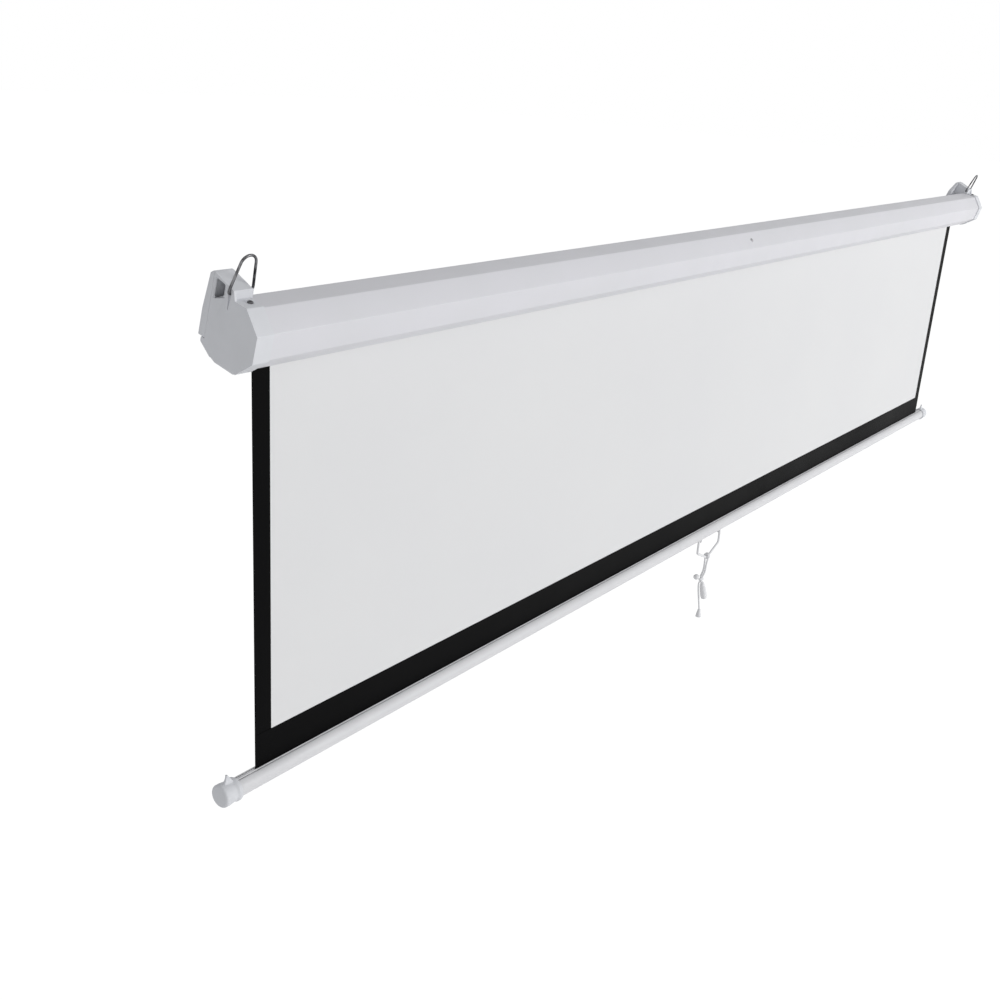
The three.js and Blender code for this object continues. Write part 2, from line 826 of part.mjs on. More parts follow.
function bar_cap() {
  const face = sheet_half + bar_cap_past_sheet;
  const open_end = face - bar_cap_length;
  const floor = sheet_half + bar_past_sheet + seat;
  const bore = bar_radius + seat;
  const body = turned([
    point(0, open_end),
    point(bar_cap_flange, open_end),
    point(bar_cap_flange, open_end + bar_cap_flange_length),
    point(bar_cap_waist, open_end + bar_cap_flange_length + bar_cap_edge),
    point(bar_cap_radius, face - bar_cap_rim),
    point(bar_cap_radius, face - bar_cap_edge),
    point(bar_cap_radius - bar_cap_edge, face),
    point(0, face),
  ]);
  const crest = bar_cap_radius + fin_height;
  const foot = Math.sqrt(bar_cap_waist ** 2 - (fin_foot / 2) ** 2);
  const crest_end = face - fin_from_face - fin_slope;
  const fin = new ConvexGeometry([-1, 1].flatMap((side) => [
    new THREE.Vector3(open_end + bar_cap_flange_length / 2, (side * fin_foot) / 2, foot),
    new THREE.Vector3(face - fin_from_face, (side * fin_foot) / 2, foot),
    new THREE.Vector3(crest_end, (side * fin_crest_thickness) / 2, crest),
    new THREE.Vector3(crest_end - fin_crest, (side * fin_crest_thickness) / 2, crest),
  ]));
  return cut(join(body, fin), rod(bore, open_end - overrun, floor, 48));
}

// An eye under the bar that one foot of the handle turns in, with a peg up into the bar.
function handle_eye() {
  const pivot = point(0, -bar_radius - handle_pivot_below);
  const block = along_x(
    rectangle(-eye_depth / 2, eye_depth / 2, -bar_radius - eye_below, -bar_radius / 2),
    eye_from_middle - eye_width / 2,
    eye_from_middle + eye_width / 2,
  );
  const saddle = rod(bar_radius + seat, 0, 2 * eye_from_middle, 48);
  const peg_top = -bar_radius + bar_wall + eye_peg_past;
  const peg_foot = -bar_radius - handle_pivot_below / 3;
  const peg = along_z(circle(eye_peg_radius, 16, point(eye_from_middle, 0)), peg_foot, peg_top);
  const bore = along_x(circle(handle_rod + running, 16, pivot), 0, 2 * eye_from_middle);
  return cut(join(cut(block, saddle), peg), bore);
}

function pull_handle() {
  const pivot = -bar_radius - handle_pivot_below;
  const right_half = [
    point(handle_half_width - handle_foot, pivot),
    point(handle_half_width, pivot),
    point(handle_half_width, pivot - handle_leg),
    point(handle_grip, pivot - handle_deep),
  ];
  const left_half = right_half.map((corner) => point(-corner.x, corner.y)).reverse();
  const bends = [handle_foot_bend, handle_bend, handle_bend];
  return bent_rod(handle_rod, [...right_half, ...left_half], [...bends, ...bends.slice().reverse()], 8, 60);
}

function place_bar() {
  const bar = new THREE.Group();
  bar.position.set(0, sheet_middle, bar_z);
  part.add(bar);
  const bar_half = sheet_half + bar_past_sheet;
  const slot = along_x(
    rectangle(-bar_slot / 2, bar_slot / 2, bar_radius / 2, bar_radius + overrun),
    -bar_half - overrun,
    bar_half + overrun,
  );
  const peg_holes = [-1, 1].map((side) => along_z(
    circle(eye_peg_radius + seat, 16, point(side * eye_from_middle, 0)),
    -bar_radius - overrun,
    0,
  ));
  const tube = sleeve(bar_radius, bar_radius - bar_wall, -bar_half, bar_half, 48);
  place(bar, 'weight_bar', cut(tube, slot, ...peg_holes), bar_white);

  const neck = strip_neck / 2;
  const foot = strip_foot / 2;
  const slit = sheet_thickness;
  const strip_half_outline = [
    point(foot, strip_foot_bottom),
    point(foot, strip_foot_top),
    point(neck, strip_foot_top),
    point(neck, strip_top),
    point(slit, strip_top),
    point(slit, strip_slit_floor),
  ];
  const other_half = strip_half_outline.map((corner) => point(-corner.x, corner.y)).reverse();
  const strip = along_x([...strip_half_outline, ...other_half], -bar_half, bar_half);
  place(bar, 'hem_strip', strip, part_white);
  place_pair(bar, 'bar_cap', bar_cap(), part_white);
  place_pair(bar, 'handle_eye', handle_eye(), part_white);
  place(bar, 'pull_handle', pull_handle(), part_white);
}

// The cord hangs from the middle of the handle. Its points are measured from there. It comes up in
// front, takes a round turn about the handle's lowest run, and goes down behind.
function place_cord() {
  const cord = new THREE.Group();
  cord.position.set(0, sheet_middle, bar_z - bar_radius - handle_pivot_below - handle_deep);
  part.add(cord);
  const route = (points) => new THREE.CatmullRomCurve3(
    points.map(([x, y, z]) => new THREE.Vector3(x, y, z)),
    false,
    'centripetal',
  );
  const front_run = route([
    [1.9, -0.5, 4.5], [1.8, -1.3, 4.4], [1.4, -3.2, 3.2], [0.9, -4.5, 0], [0.4, -3.2, -3.2],
    [-0.1, 0, -4.5], [-0.6, 3.2, -3.2], [-1.1, 4.5, 0], [-1.7, 3.2, 3.2], [-2.2, 0, 4.5],
    [-2.7, -3.2, 3.2], [-3.2, -4.5, 0], [-3.1, -3.7, -7], [-2.5, -2.1, -17], [-2, -1.6, -27],
    [-2.9, -0.5, -35], [-4.3, 0.8, -40], [-5, 1.4, -43.1],
  ]);
  const back_run = route([
    [2, 0.5, 4.5], [2.1, 1.3, 4.4], [2.4, 3.2, 3.2], [3, 4.5, 0], [2.6, 4.3, -7],
    [0.4, 3.1, -17], [-1.7, 2.6, -27], [-2.9, 3.7, -35], [-4.3, 5, -40], [-5, 5.6, -42.7],
  ]);
  const tail_run = route([
    [-7.5, 5, -53.4], [-8.2, 5.6, -57.5], [-7.8, 5.3, -66], [-6.2, 4.1, -80],
    [-4.1, 2.5, -95], [-1.9, 0.8, -111.4],
  ]);
  const knot_at = new THREE.Vector3(-5, 3.5, -48.5);
  const bead_at = new THREE.Vector3(-11.1, 11, -43.7);
  const toggle_top = new THREE.Vector3(-3.5, 1.2, -53.4);
  const toggle_foot = new THREE.Vector3(2.9, -3.7, -87.5);
  place(cord, 'pull_cord', swept(cord_radius, front_run, cord_sides, 30), cord_white);
  place(cord, 'pull_cord_return', swept(cord_radius, back_run, cord_sides, 18), cord_white);
  place(cord, 'pull_cord_tail', swept(cord_radius, tail_run, cord_sides, 10), cord_white);

  const ball = (radius, at) => new THREE.SphereGeometry(radius, 16, 12).translate(at.x, at.y, at.z);
  place(cord, 'cord_knot', ball(knot_radius, knot_at), cord_white);
  place(cord, 'cord_bead', ball(bead_radius, bead_at), part_white);

  // The toggle hangs beside the tail, narrow at its neck and widest low down.
  const toggle_profile = [
    point(0, 0),
    ...toggle_belly_shares.map(([out, up]) => point(toggle_radius * out, toggle_length * up)),
    point(toggle_neck, toggle_length * toggle_neck_share),
    point(toggle_neck, toggle_length),
    point(0, toggle_length),
  ];
  const toggle = place(cord, 'cord_toggle', new THREE.LatheGeometry(toggle_profile, 16), part_white);
  const rise = toggle_top.clone().sub(toggle_foot).normalize();
  toggle.quaternion.setFromUnitVectors(new THREE.Vector3(0, 1, 0), rise);
  toggle.position.copy(toggle_top).addScaledVector(rise, -toggle_length);

  const knob_profile = [
    point(0, -tail_knob_length),
    ...tail_knob_shares.map(([out, down]) => point(tail_knob_radius * out, -tail_knob_length * down)),
    point(tail_knob_neck, 0),
    point(0, 0),
  ];
  const tail_end = tail_run.getPoint(1);
  const knob = new THREE.LatheGeometry(knob_profile, 16)
    .rotateX(Math.PI / 2)
    .translate(tail_end.x, tail_end.y, tail_end.z - seat);
  place(cord, 'tail_knob', knob, part_white);
}

place_case();
place_roller();
place_sheet();
place_bar();
place_cord();

export default part;
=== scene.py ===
"""The looks of a manual pull down projector screen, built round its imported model.

Metres, in the model's own frame: +X runs along the case, +Y towards the wall, +Z up.
Pieces of the case are shaped in the case's own axes and turned by its hanging tilt.
"""
import json
import math

import bmesh
import bpy
from mathutils import Matrix, Vector, noise


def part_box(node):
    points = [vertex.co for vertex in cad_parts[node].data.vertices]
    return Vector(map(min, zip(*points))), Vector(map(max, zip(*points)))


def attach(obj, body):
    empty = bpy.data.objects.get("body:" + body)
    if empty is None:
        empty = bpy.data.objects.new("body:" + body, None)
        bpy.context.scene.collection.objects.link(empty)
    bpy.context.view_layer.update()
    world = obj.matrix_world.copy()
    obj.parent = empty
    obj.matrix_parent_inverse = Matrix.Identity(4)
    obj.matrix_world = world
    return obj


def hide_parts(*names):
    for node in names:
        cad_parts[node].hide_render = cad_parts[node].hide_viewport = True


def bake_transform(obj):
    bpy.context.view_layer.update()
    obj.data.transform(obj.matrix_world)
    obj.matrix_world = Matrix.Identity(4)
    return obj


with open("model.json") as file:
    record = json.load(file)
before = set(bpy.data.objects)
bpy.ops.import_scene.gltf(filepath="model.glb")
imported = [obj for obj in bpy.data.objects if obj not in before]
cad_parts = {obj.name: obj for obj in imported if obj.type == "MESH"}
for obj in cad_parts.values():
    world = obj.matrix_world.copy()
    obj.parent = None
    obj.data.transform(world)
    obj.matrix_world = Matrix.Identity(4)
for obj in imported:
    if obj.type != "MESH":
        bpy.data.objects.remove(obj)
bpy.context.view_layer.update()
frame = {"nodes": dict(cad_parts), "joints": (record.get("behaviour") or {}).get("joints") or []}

MM = 0.001
HALF_SIDE_SHARE = math.tan(math.pi / 8)
SEAT = 0.3 * MM

# Cutters reach this far past what they cut, and joined blocks stop this far short of a shared face
OVERRUN = 3 * MM
PLATE_OVERRUN = 2 * MM
SLIVER = 0.01 * MM

# Steps of rounded corners, and which edges are softened in how many steps
CORNER_STEP = math.radians(12)
SOFT_EDGE_ANGLE = math.radians(32)
SOFT_EDGE_STEPS = 3

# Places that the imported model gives
joints = {joint["name"]: joint for joint in frame["joints"]}
ROLLER_AXIS = Vector(joints["roller_spin"]["pos_m"])
SLOT = Vector(joints["screen_swing"]["pos_m"])
HANDLE_PIVOT = Vector(joints["handle_swing"]["pos_m"])
CORD_PIVOT = Vector(joints["cord_swing"]["pos_m"])
SHEET_LOW, SHEET_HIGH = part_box("screen_sheet")
BAND_LOW, BAND_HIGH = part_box("bottom_border")
BAR_LOW, BAR_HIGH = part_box("weight_bar")
TUBE_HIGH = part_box("roller_tube")[1]
SPRING_LOW, SPRING_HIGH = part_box("torsion_spring")
CAP_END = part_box("right_end_cap")[1].x
BAR_CAP_LOW, BAR_CAP_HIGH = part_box("right_bar_cap")

# Surfaces: the height of their relief, and the range that a grain's values mostly keep to
RELIEF = 0.1 * MM
GRAIN_LOW, GRAIN_HIGH = 0.3, 0.7

# Case, in its own axes
HANG_TILT = math.radians(14.8)
CASE_HALF_FLAT = 34 * MM
CASE_CORNER = 2.2 * MM
SHELL_WALL = 1 * MM
SHELL_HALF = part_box("case_shell")[1].x
SLOT_WIDE = 8 * MM
SLOT_LIP = 5 * MM
SLOT_MIDDLE = 9.014 * MM
LIP_CREASE = 0.05 * MM
LIP_BEND = 0.6 * MM
LIP_CORNER = 0.3 * MM
LIP_ROOT = 0.4 * MM
LOOP_PIVOT_UP = 40 * MM
LOOP_PIVOT_BACK = LOOP_PIVOT_UP * math.tan(HANG_TILT)

# End caps
CAP_FACE = 2.5 * MM
CAP_COLLAR = 22 * MM
CAP_INNER = CASE_HALF_FLAT + SEAT
CAP_WALL = 1.4 * MM
CAP_OUTER = CAP_INNER + CAP_WALL
CAP_CORNER = 1.8 * MM
CAP_EDGE = 0.55 * MM
CAP_LIP_DEPTH = 5.2 * MM
CAP_LIP_HEIGHT = 4.8 * MM
CAP_LIP_CORNER = 0.5 * MM
CAP_HEEL = 3.6 * MM
CAP_FOOT_DROP = 2.4 * MM
CAP_FOOT_FRONT = 9 * MM
CAP_CHAMFER_IN = 2.2 * MM
CAP_CHAMFER_UP = 5.6 * MM
GUSSET_FOOT = 1.5 * MM
GUSSET_FRONT = 6 * MM
GUSSET_FRONT_UP = 45 * MM
GUSSET_UP = 52.3 * MM
GUSSET_BACK_CORNER = 0.8 * MM
GUSSET_FRONT_CORNER = 1.6 * MM
WINDOW_NEAR = 20.2 * MM
WINDOW_FAR = 33.2 * MM
WINDOW_LOW = 26 * MM
WINDOW_HIGH = 47.5 * MM
WINDOW_RISE = 7.5 * MM
WINDOW_FALL = 2.5 * MM
WINDOW_CORNER = 1.8 * MM
WINDOW_FLARE_DEEP = 1.7 * MM
WINDOW_FLARE = (1.46, 1.1)
WINDOW_FLARE_SHIFT = 1.5 * MM
WEDGE_WALL = 1.6 * MM
WEDGE_FLOOR = 0.8 * MM
EAR_FROM_FACE = 4.5 * MM
EAR_LENGTH = 21.5 * MM
EAR_FRONT = LOOP_PIVOT_BACK - 4.5 * MM
EAR_BACK = LOOP_PIVOT_BACK + 4.5 * MM
EAR_TOP = LOOP_PIVOT_UP + 4.4 * MM
EAR_FOOT = CAP_INNER + 0.2 * MM
EAR_CORNER = 0.6 * MM
SLIT_TOP_WIDE = 4.6 * MM
SLIT_FOOT_WIDE = 0.4 * MM
SLIT_LOW = 22.5 * MM
SLIT_DEEP = 2.2 * MM
SOCKET_RADIUS = 9 * MM
SOCKET_DEPTH = 9 * MM
SOCKET_BORE = 3.9 * MM

# Wall plates
PLATE_FRONT = CAP_OUTER + SEAT
PLATE_BACK = PLATE_FRONT + 9.3 * MM
PLATE_HEAD_BACK = PLATE_FRONT + 5.4 * MM
PLATE_HEAD_BEVEL = 3 * MM
PLATE_FLAT_UP = 10 * MM
PLATE_BASE = 50 * MM
PLATE_TOP = 24 * MM
PLATE_BOTTOM = -19 * MM
PLATE_SHOULDER = 31 * MM
PLATE_CORNER = 1.5 * MM
PLATE_EDGE = 0.45 * MM
KEYHOLE_IN = 29 * MM
KEYHOLE_HEAD = 4.6 * MM
KEYHOLE_NECK = 2.4 * MM
KEYHOLE_ROUNDING = 2.35 * MM
KEYHOLE_LOW = 29.5 * MM
KEYHOLE_HIGH = 42 * MM

# Screws and the rivet
SCREW_HEAD = 3.1 * MM
SCREW_SHANK = 1.5 * MM
SCREW_HEAD_HIGH = 1.7 * MM
SCREW_ROOM = 0.4 * MM
SCREW_DOME_SHARES = ((1, 0), (1, 0.4), (0.93, 0.68), (0.7, 0.92), (0.35, 1), (0, 1))
CROSS_ARM_SHARE = 0.62
CROSS_HALF_SHARE = 0.13
CROSS_FLOOR_SHARE = 0.35
CAP_SCREW_LONG = 5.5 * MM
CAP_SCREW_IN = 13.5 * MM
CAP_SCREW_FORWARD = 4.7 * MM
PLATE_SCREW_IN = 12.5 * MM
PLATE_SCREW_ROWS = (-10 * MM, 6 * MM)
PLATE_SCREW_SEAT = 2.3 * MM
PLATE_SCREW_LONG = 8.5 * MM
RIVET_FROM_MIDDLE = 87.4 * MM
RIVET_HEAD = 3.4 * MM
RIVET_HIGH = 1.5 * MM
RIVET_RIM = 0.3 * MM
RIVET_SEAT = 0.02 * MM
RIVET_SHANK = 2.4 * MM
RIVET_SHANK_LONG = 4 * MM
RIVET_DOME_ANGLES = (0.1, 0.4, 0.7, 1.0, 1.3)

# Wire loops
WIRE = 1.5 * MM
LOOP_CLEAR = 0.4 * MM
LOOP_HIGH = 41.1 * MM
LOOP_SHOULDER = 8.2 * MM
LOOP_CROWN_BEND = 1.2 * LOOP_SHOULDER
LOOP_KNEE_BEND = 14 * MM
LOOP_BEND = 2.6 * MM
LOOP_STRAIGHT = 5.6 * MM
LOOP_FOOT = 7 * MM
LOOP_LEAN = math.radians(7)
WIRE_STEP = 0.8 * MM
ROD_END_ANGLES = (0.25, 0.7, 1.15)

# Spring
SPRING_INSIDE = 5.6 * MM
SPRING_PITCH_SHARE = 1.25
SPRING_TURN_STEPS = 14

# Sheet. Its ripple has this many swells in a metre across and down
BORDER_SIDE = 25 * MM
SHEET_THICK = 0.4 * MM
BORDER_PROUD = 0.3 * MM
BORDER_STEP = 0.12 * MM
SHEET_ABOVE_SLOT = 19 * MM
SHEET_COLUMNS = 72
ROWS_ABOVE_SLOT = 4
ROWS_OF_WHITE = 70
ROWS_OF_BAND = 8
SHEET_RIPPLE = 0.35 * MM
SWELLS_ACROSS = 3.1
SWELLS_DOWN = 1.4
ROLL_TURN_STEPS = 40
ROLL_PITCH = 0.3 * MM
ROLL_SHEET = 0.24 * MM

# Weight bar
BAR_RADIUS = 11.75 * MM
BAR_WALL = 1.2 * MM
BAR_SLOT = 7.6 * MM
BAR_SLOT_EDGE = 0.35 * MM
BAR_SLOT_ROLL = 0.03
STRIP_NECK = 3.6 * MM
STRIP_FOOT = 10 * MM
STRIP_FOOT_TOP = 8.2 * MM
STRIP_FOOT_LOW = 7 * MM
STRIP_TOP = 11.5 * MM
STRIP_SLIT = 1.2 * MM
STRIP_SLIT_FLOOR = 8.2 * MM
STRIP_CORNER = 0.4 * MM
STRIP_ROOT = 0.3 * MM
STRIP_SLIT_CORNER = 0.15 * MM
BAR_CAP_RADIUS = 14 * MM
BAR_CAP_RIM = 7 * MM
BAR_CAP_RIM_BEND = 8 * MM
BAR_CAP_WAIST = 12.9 * MM
BAR_CAP_EDGE = 3 * MM
BAR_CAP_FLANGE_LONG = 5.5 * MM
FIN_HIGH = 9.5 * MM
FIN_FOOT = 15 * MM
FIN_CREST_THICK = 3 * MM
FIN_FROM_FACE = 2.5 * MM
FIN_SLOPE = 7.4 * MM
FIN_CREST = 2.4 * MM
FIN_CORNER = 1.4 * MM
FIN_CORNER_SHARE = 0.4
FIN_STEPS = 10
FIN_HOLLOW = 2.2
FIN_THINNING = 5

# The bulging lip of that cap: radius, distance from the open end, radius of the corner
BAR_CAP_LIP = (
    (13.4 * MM, 0, 0.6 * MM), (14.4 * MM, 1.6 * MM, 2 * MM), (14.4 * MM, 4.9 * MM, 2.4 * MM),
    (BAR_CAP_WAIST, 7.9 * MM, 4 * MM),
)

# Pull handle
EYE_FROM_MIDDLE = 37.3 * MM
EYE_WIDE = 4 * MM
EYE_DEEP = 7 * MM
EYE_BELOW = 7.4 * MM
EYE_CORNER = 3 * MM
EYE_EDGE = 0.35 * MM
EYE_ROOM = 0.05 * MM
HANDLE_ROD = 2.2 * MM
HANDLE_HALF_WIDE = 42 * MM
HANDLE_LEG = 25 * MM
HANDLE_DEEP = 41.5 * MM
HANDLE_GRIP = 7 * MM
HANDLE_BEND = 4 * MM
HANDLE_GRIP_BEND = 8 * MM
HANDLE_FOOT = 6 * MM
HANDLE_FOOT_BEND = 3 * MM

# Pull cord, its points measured in millimetres from the middle of the handle's grip
CORD_RADIUS = 1.75 * MM
CORD_STEP = 0.6 * MM
BRAID_PITCH = 7.5 * MM
BRAID_STRANDS = 4
BRAID_DEPTH_SHARE = 0.04
LOOP_ROUTE = [
    (-5, 1.4, -43.1), (-4.3, 0.8, -40), (-2.9, -0.5, -35), (-2, -1.6, -27), (-2.5, -2.1, -17),
    (-3.1, -3.7, -7), (-3.2, -4.5, 0), (-2.7, -3.2, 3.2), (-2.2, 0, 4.5), (-1.7, 3.2, 3.2),
    (-1.1, 4.5, 0), (-0.6, 3.2, -3.2), (-0.1, 0, -4.5), (0.4, -3.2, -3.2), (0.9, -4.5, 0),
    (1.4, -3.2, 3.2), (1.95, 0, 4.5), (2.4, 3.2, 3.2), (3, 4.5, 0), (2.6, 4.3, -7),
    (0.4, 3.1, -17), (-1.7, 2.6, -27), (-2.9, 3.7, -35), (-4.3, 5, -40), (-5, 5.6, -42.7),
]
TAIL_ROUTE = [
    (-7.5, 5, -53.4), (-8.2, 5.6, -57.5), (-7.8, 5.3, -66), (-6.2, 4.1, -80), (-4.1, 2.5, -95),
    (-1.9, 0.8, -111.4),
]
KNOT_AT = (-5, 3.5, -48.5)
BEAD_AT = (-11.1, 11, -43.7)
TOGGLE_TOP = (-3.5, 1.2, -53.4)
TOGGLE_FOOT = (2.9, -3.7, -87.5)
KNOT_RADIUS = 6.3 * MM
KNOT_STRAND = 1.75 * MM
KNOT_DEPTH_SHARE = 1.1
KNOT_STEPS = 120
BEAD_RADIUS = 5.5 * MM
BEAD_HOLE = 1.3 * MM
BEAD_STEPS = 32

# Toggle and tail knob. A shape has a share of the radius, a share of the length and a corner.
# The hollow's side leans in, from the wall at the foot to BELL_LEAN walls at BELL_SIDE of its depth
BELL_LEAN = 1.2
BELL_SIDE = 0.7
TOGGLE = {
    "radius": 6.3 * MM, "long": 35 * MM, "neck": 1.9 * MM, "neck_corner": 0.4 * MM,
    "wall": 1.2 * MM, "hollow": 5 * MM,
    "shape": (
        (0.62, 0.08, 3 * MM), (0.86, 0.3, 10 * MM), (0.96, 0.58, 10 * MM), (1, 0.84, 6 * MM),
        (0.86, 1, 0),
    ),
}
KNOB = {
    "radius": 5.4 * MM, "long": 15 * MM, "neck": 2.6 * MM, "neck_corner": 0.5 * MM,
    "wall": 1.1 * MM, "hollow": 6 * MM,
    "shape": ((0.72, 0.4, 5 * MM), (0.96, 0.78, 4 * MM), (1, 1, 0)),
}

# Camera, fitted to the photograph's straight edges
CAMERA_AT = Vector((-1.9477, -0.8952, 0.2270))
CAMERA_YAW = 0.94596
CAMERA_PITCH = 0.34994
CAMERA_ROLL = -0.06606
CAMERA_LENS = 43.2
CAMERA_SENSOR = 36
CAMERA_CLIP = (0.05, 200)

# To the camera the floor is FLOOR_SHARE of a glow and the rest its own face. Together they are
# white where the face is lit, and the object's shadow shows
FLOOR_Z = -1.85
FLOOR_HALF = 40
FLOOR_COLOR = (0.92, 0.92, 0.92, 1)
FLOOR_SHARE = 0.7
FLOOR_WHITE = 1.29
WORLD_COLOR = (0.97, 0.98, 1.0, 1)
WORLD_STRENGTH = 0.45
WHITE = (1, 1, 1, 1)

# Lights: name, place, aim, width in metres, watts
LIGHTS = (
    ("front_softbox", (2.6, -6, 0.8), (0.3, 0, -0.3), 3.2, 202),
    ("left_fill", (-4.5, -3.5, -0.4), (-0.4, 0, -0.3), 2.4, 25),
)

CASE = Matrix.Translation(ROLLER_AXIS) @ Matrix.Rotation(HANG_TILT, 4, "X")
BAR_MIDDLE = Vector((0, (BAR_LOW.y + BAR_HIGH.y) / 2, BAR_LOW.z + BAR_RADIUS))
BAR = Matrix.Translation(BAR_MIDDLE)
SHEET_MIDDLE = (SHEET_LOW.y + SHEET_HIGH.y) / 2


# Materials

def node(tree, kind, **inputs):
    """A new node. An input's name has _ for each space."""
    made = tree.nodes.new(kind)
    for name, value in inputs.items():
        made.inputs[name.replace("_", " ")].default_value = value
    return made


def grain(tree, where, scale, detail, stretch):
    """A noise value in the object's own coordinates."""
    mapping = node(tree, "ShaderNodeMapping", Scale=stretch)
    tree.links.new(where.outputs["Object"], mapping.inputs["Vector"])
    made = node(tree, "ShaderNodeTexNoise", Scale=scale, Detail=detail, Roughness=0.55)
    tree.links.new(mapping.outputs["Vector"], made.inputs["Vector"])
    return made.outputs["Fac"]


def spanned(tree, value, low, high):
    """A grain's value spread from low to high."""
    ends = {"From_Min": GRAIN_LOW, "From_Max": GRAIN_HIGH, "To_Min": low, "To_Max": high}
    made = node(tree, "ShaderNodeMapRange", **ends)
    tree.links.new(value, made.inputs["Value"])
    return made.outputs["Result"]


def stripes(tree, where, axis, pitch):
    """Smooth stripes of one pitch along an axis."""
    made = node(tree, "ShaderNodeTexWave", Scale=math.pi / (10 * pitch) * 2, Distortion=0.0)
    made.bands_direction = axis
    made.wave_profile = "SIN"
    tree.links.new(where.outputs["Object"], made.inputs["Vector"])
    return made.outputs["Fac"]


def math_value(tree, operation, first, second):
    """Two values put through one math operation. The second may be a plain number."""
    made = node(tree, "ShaderNodeMath")
    made.operation = operation
    tree.links.new(first, made.inputs[0])
    if isinstance(second, float):
        made.inputs[1].default_value = second
    else:
        tree.links.new(second, made.inputs[1])
    return made.outputs["Value"]


def surface(
    name, color, other, roughness, spread, mottle, fine, bump, metallic=0.0, gloss=0.5,
    sheen=0.0, weave=None, stretch=(1, 1, 1),
):
    """A surface whose colour runs between two near ones, with grain in its gloss and relief."""
    material = bpy.data.materials.new(name)
    material.use_nodes = True
    tree = material.node_tree
    shader = tree.nodes["Principled BSDF"]
    plain = {"Metallic": metallic, "Specular IOR Level": gloss, "Sheen Weight": sheen}
    for socket, value in plain.items():
        shader.inputs[socket].default_value = value
    where = node(tree, "ShaderNodeTexCoord")
    blotches = grain(tree, where, mottle, 4.0, stretch)
    mix = node(tree, "ShaderNodeMix")
    mix.data_type = "RGBA"
    mix.inputs["A"].default_value = (*color, 1)
    mix.inputs["B"].default_value = (*other, 1)
    tree.links.new(spanned(tree, blotches, 0, 1), mix.inputs["Factor"])
    tree.links.new(mix.outputs["Result"], shader.inputs["Base Color"])
    gloss_grain = spanned(tree, blotches, roughness - spread, roughness + spread)
    tree.links.new(gloss_grain, shader.inputs["Roughness"])
    height = grain(tree, where, fine, 2.0, stretch)
    if weave:
        threads = [stripes(tree, where, axis, weave) for axis in ("X", "Z")]
        crossed = math_value(tree, "MULTIPLY", *threads)
        height = math_value(tree, "ADD", crossed, height)
    relief = node(tree, "ShaderNodeBump", Strength=bump, Distance=RELIEF)
    tree.links.new(height, relief.inputs["Height"])
    tree.links.new(relief.outputs["Normal"], shader.inputs["Normal"])
    return material


paint = surface(
    "case_paint", (0.735, 0.73, 0.765), (0.715, 0.715, 0.74), 0.5, 0.05,
    mottle=9, fine=1500, bump=0.12, gloss=0.4,
)
bar_paint = surface(
    "bar_paint", (0.735, 0.735, 0.745), (0.705, 0.705, 0.72), 0.5, 0.06,
    mottle=14, fine=1600, bump=0.12, gloss=0.4,
)
cap_plastic = surface(
    "cap_plastic", (0.745, 0.755, 0.785), (0.715, 0.725, 0.75), 0.55, 0.06,
    mottle=30, fine=2600, bump=0.25, gloss=0.4,
)
fitting_plastic = surface(
    "fitting_plastic", (0.86, 0.86, 0.87), (0.82, 0.82, 0.835), 0.45, 0.06,
    mottle=40, fine=1200, bump=0.1,
)
sheet_white = surface(
    "sheet_white", (0.79, 0.79, 0.79), (0.775, 0.775, 0.78), 0.82, 0.04,
    mottle=3, fine=1800, bump=0.25, weave=0.9 * MM, gloss=0.25,
)
sheet_black = surface(
    "sheet_black", (0.0008, 0.0008, 0.001), (0.0016, 0.0016, 0.0018), 0.5, 0.05,
    mottle=5, fine=1800, bump=0.25, weave=0.9 * MM, gloss=0.03,
)
# The loop's wire is dark; its blotches, stretched along the wire and running up to mid grey, are
# painted reflections that stand in for the chrome's glints
wire_painted_glints = surface(
    "wire_painted_glints", (0.006, 0.006, 0.007), (0.24, 0.24, 0.25), 0.2, 0.08,
    metallic=1, mottle=260, fine=900, bump=0.15, stretch=(1, 1, 0.3),
)
dark_screw = surface(
    "dark_screw", (0.06, 0.06, 0.065), (0.12, 0.12, 0.125), 0.4, 0.08,
    metallic=1, mottle=200, fine=2500, bump=0.2,
)
rivet_steel = surface(
    "rivet_steel", (0.28, 0.28, 0.29), (0.36, 0.36, 0.37), 0.4, 0.08,
    metallic=1, mottle=200, fine=2500, bump=0.2,
)
bright_steel = surface(
    "bright_steel", (0.55, 0.56, 0.57), (0.47, 0.48, 0.49), 0.34, 0.08,
    metallic=1, mottle=50, fine=1400, bump=0.2, stretch=(0.08, 1, 1),
)
brass = surface(
    "turned_brass", (0.63, 0.45, 0.19), (0.55, 0.38, 0.15), 0.32, 0.06,
    metallic=1, mottle=60, fine=1400, bump=0.15,
)
cord_fibre = surface(
    "cord_fibre", (0.88, 0.88, 0.89), (0.82, 0.82, 0.84), 0.8, 0.05,
    mottle=300, fine=3500, bump=0.4, sheen=0.3,
)


# Outlines

def rounded(corners, radius=0.0, closed=True):
    """The outline with its corners turned. A corner may give its own radius as a third number."""
    points = []
    count = len(corners)
    for i, corner in enumerate(corners):
        at = Vector(corner[:2])
        own = corner[2] if len(corner) > 2 else radius
        if own <= 0 or (not closed and i in (0, count - 1)):
            points.append(at)
            continue
        into = (at - Vector(corners[i - 1][:2])).normalized()
        out = (Vector(corners[(i + 1) % count][:2]) - at).normalized()
        turn = math.atan2(into.x * out.y - into.y * out.x, into.dot(out))
        setback = own * math.tan(abs(turn) / 2)
        side = math.copysign(own, turn)
        start = at - into * setback
        centre = start + Vector((-into.y, into.x)) * side
        steps = max(2, math.ceil(abs(turn) / CORNER_STEP))
        for k in range(steps + 1):
            arm = Matrix.Rotation(turn * k / steps, 2) @ (start - centre)
            points.append(centre + arm)
    return points


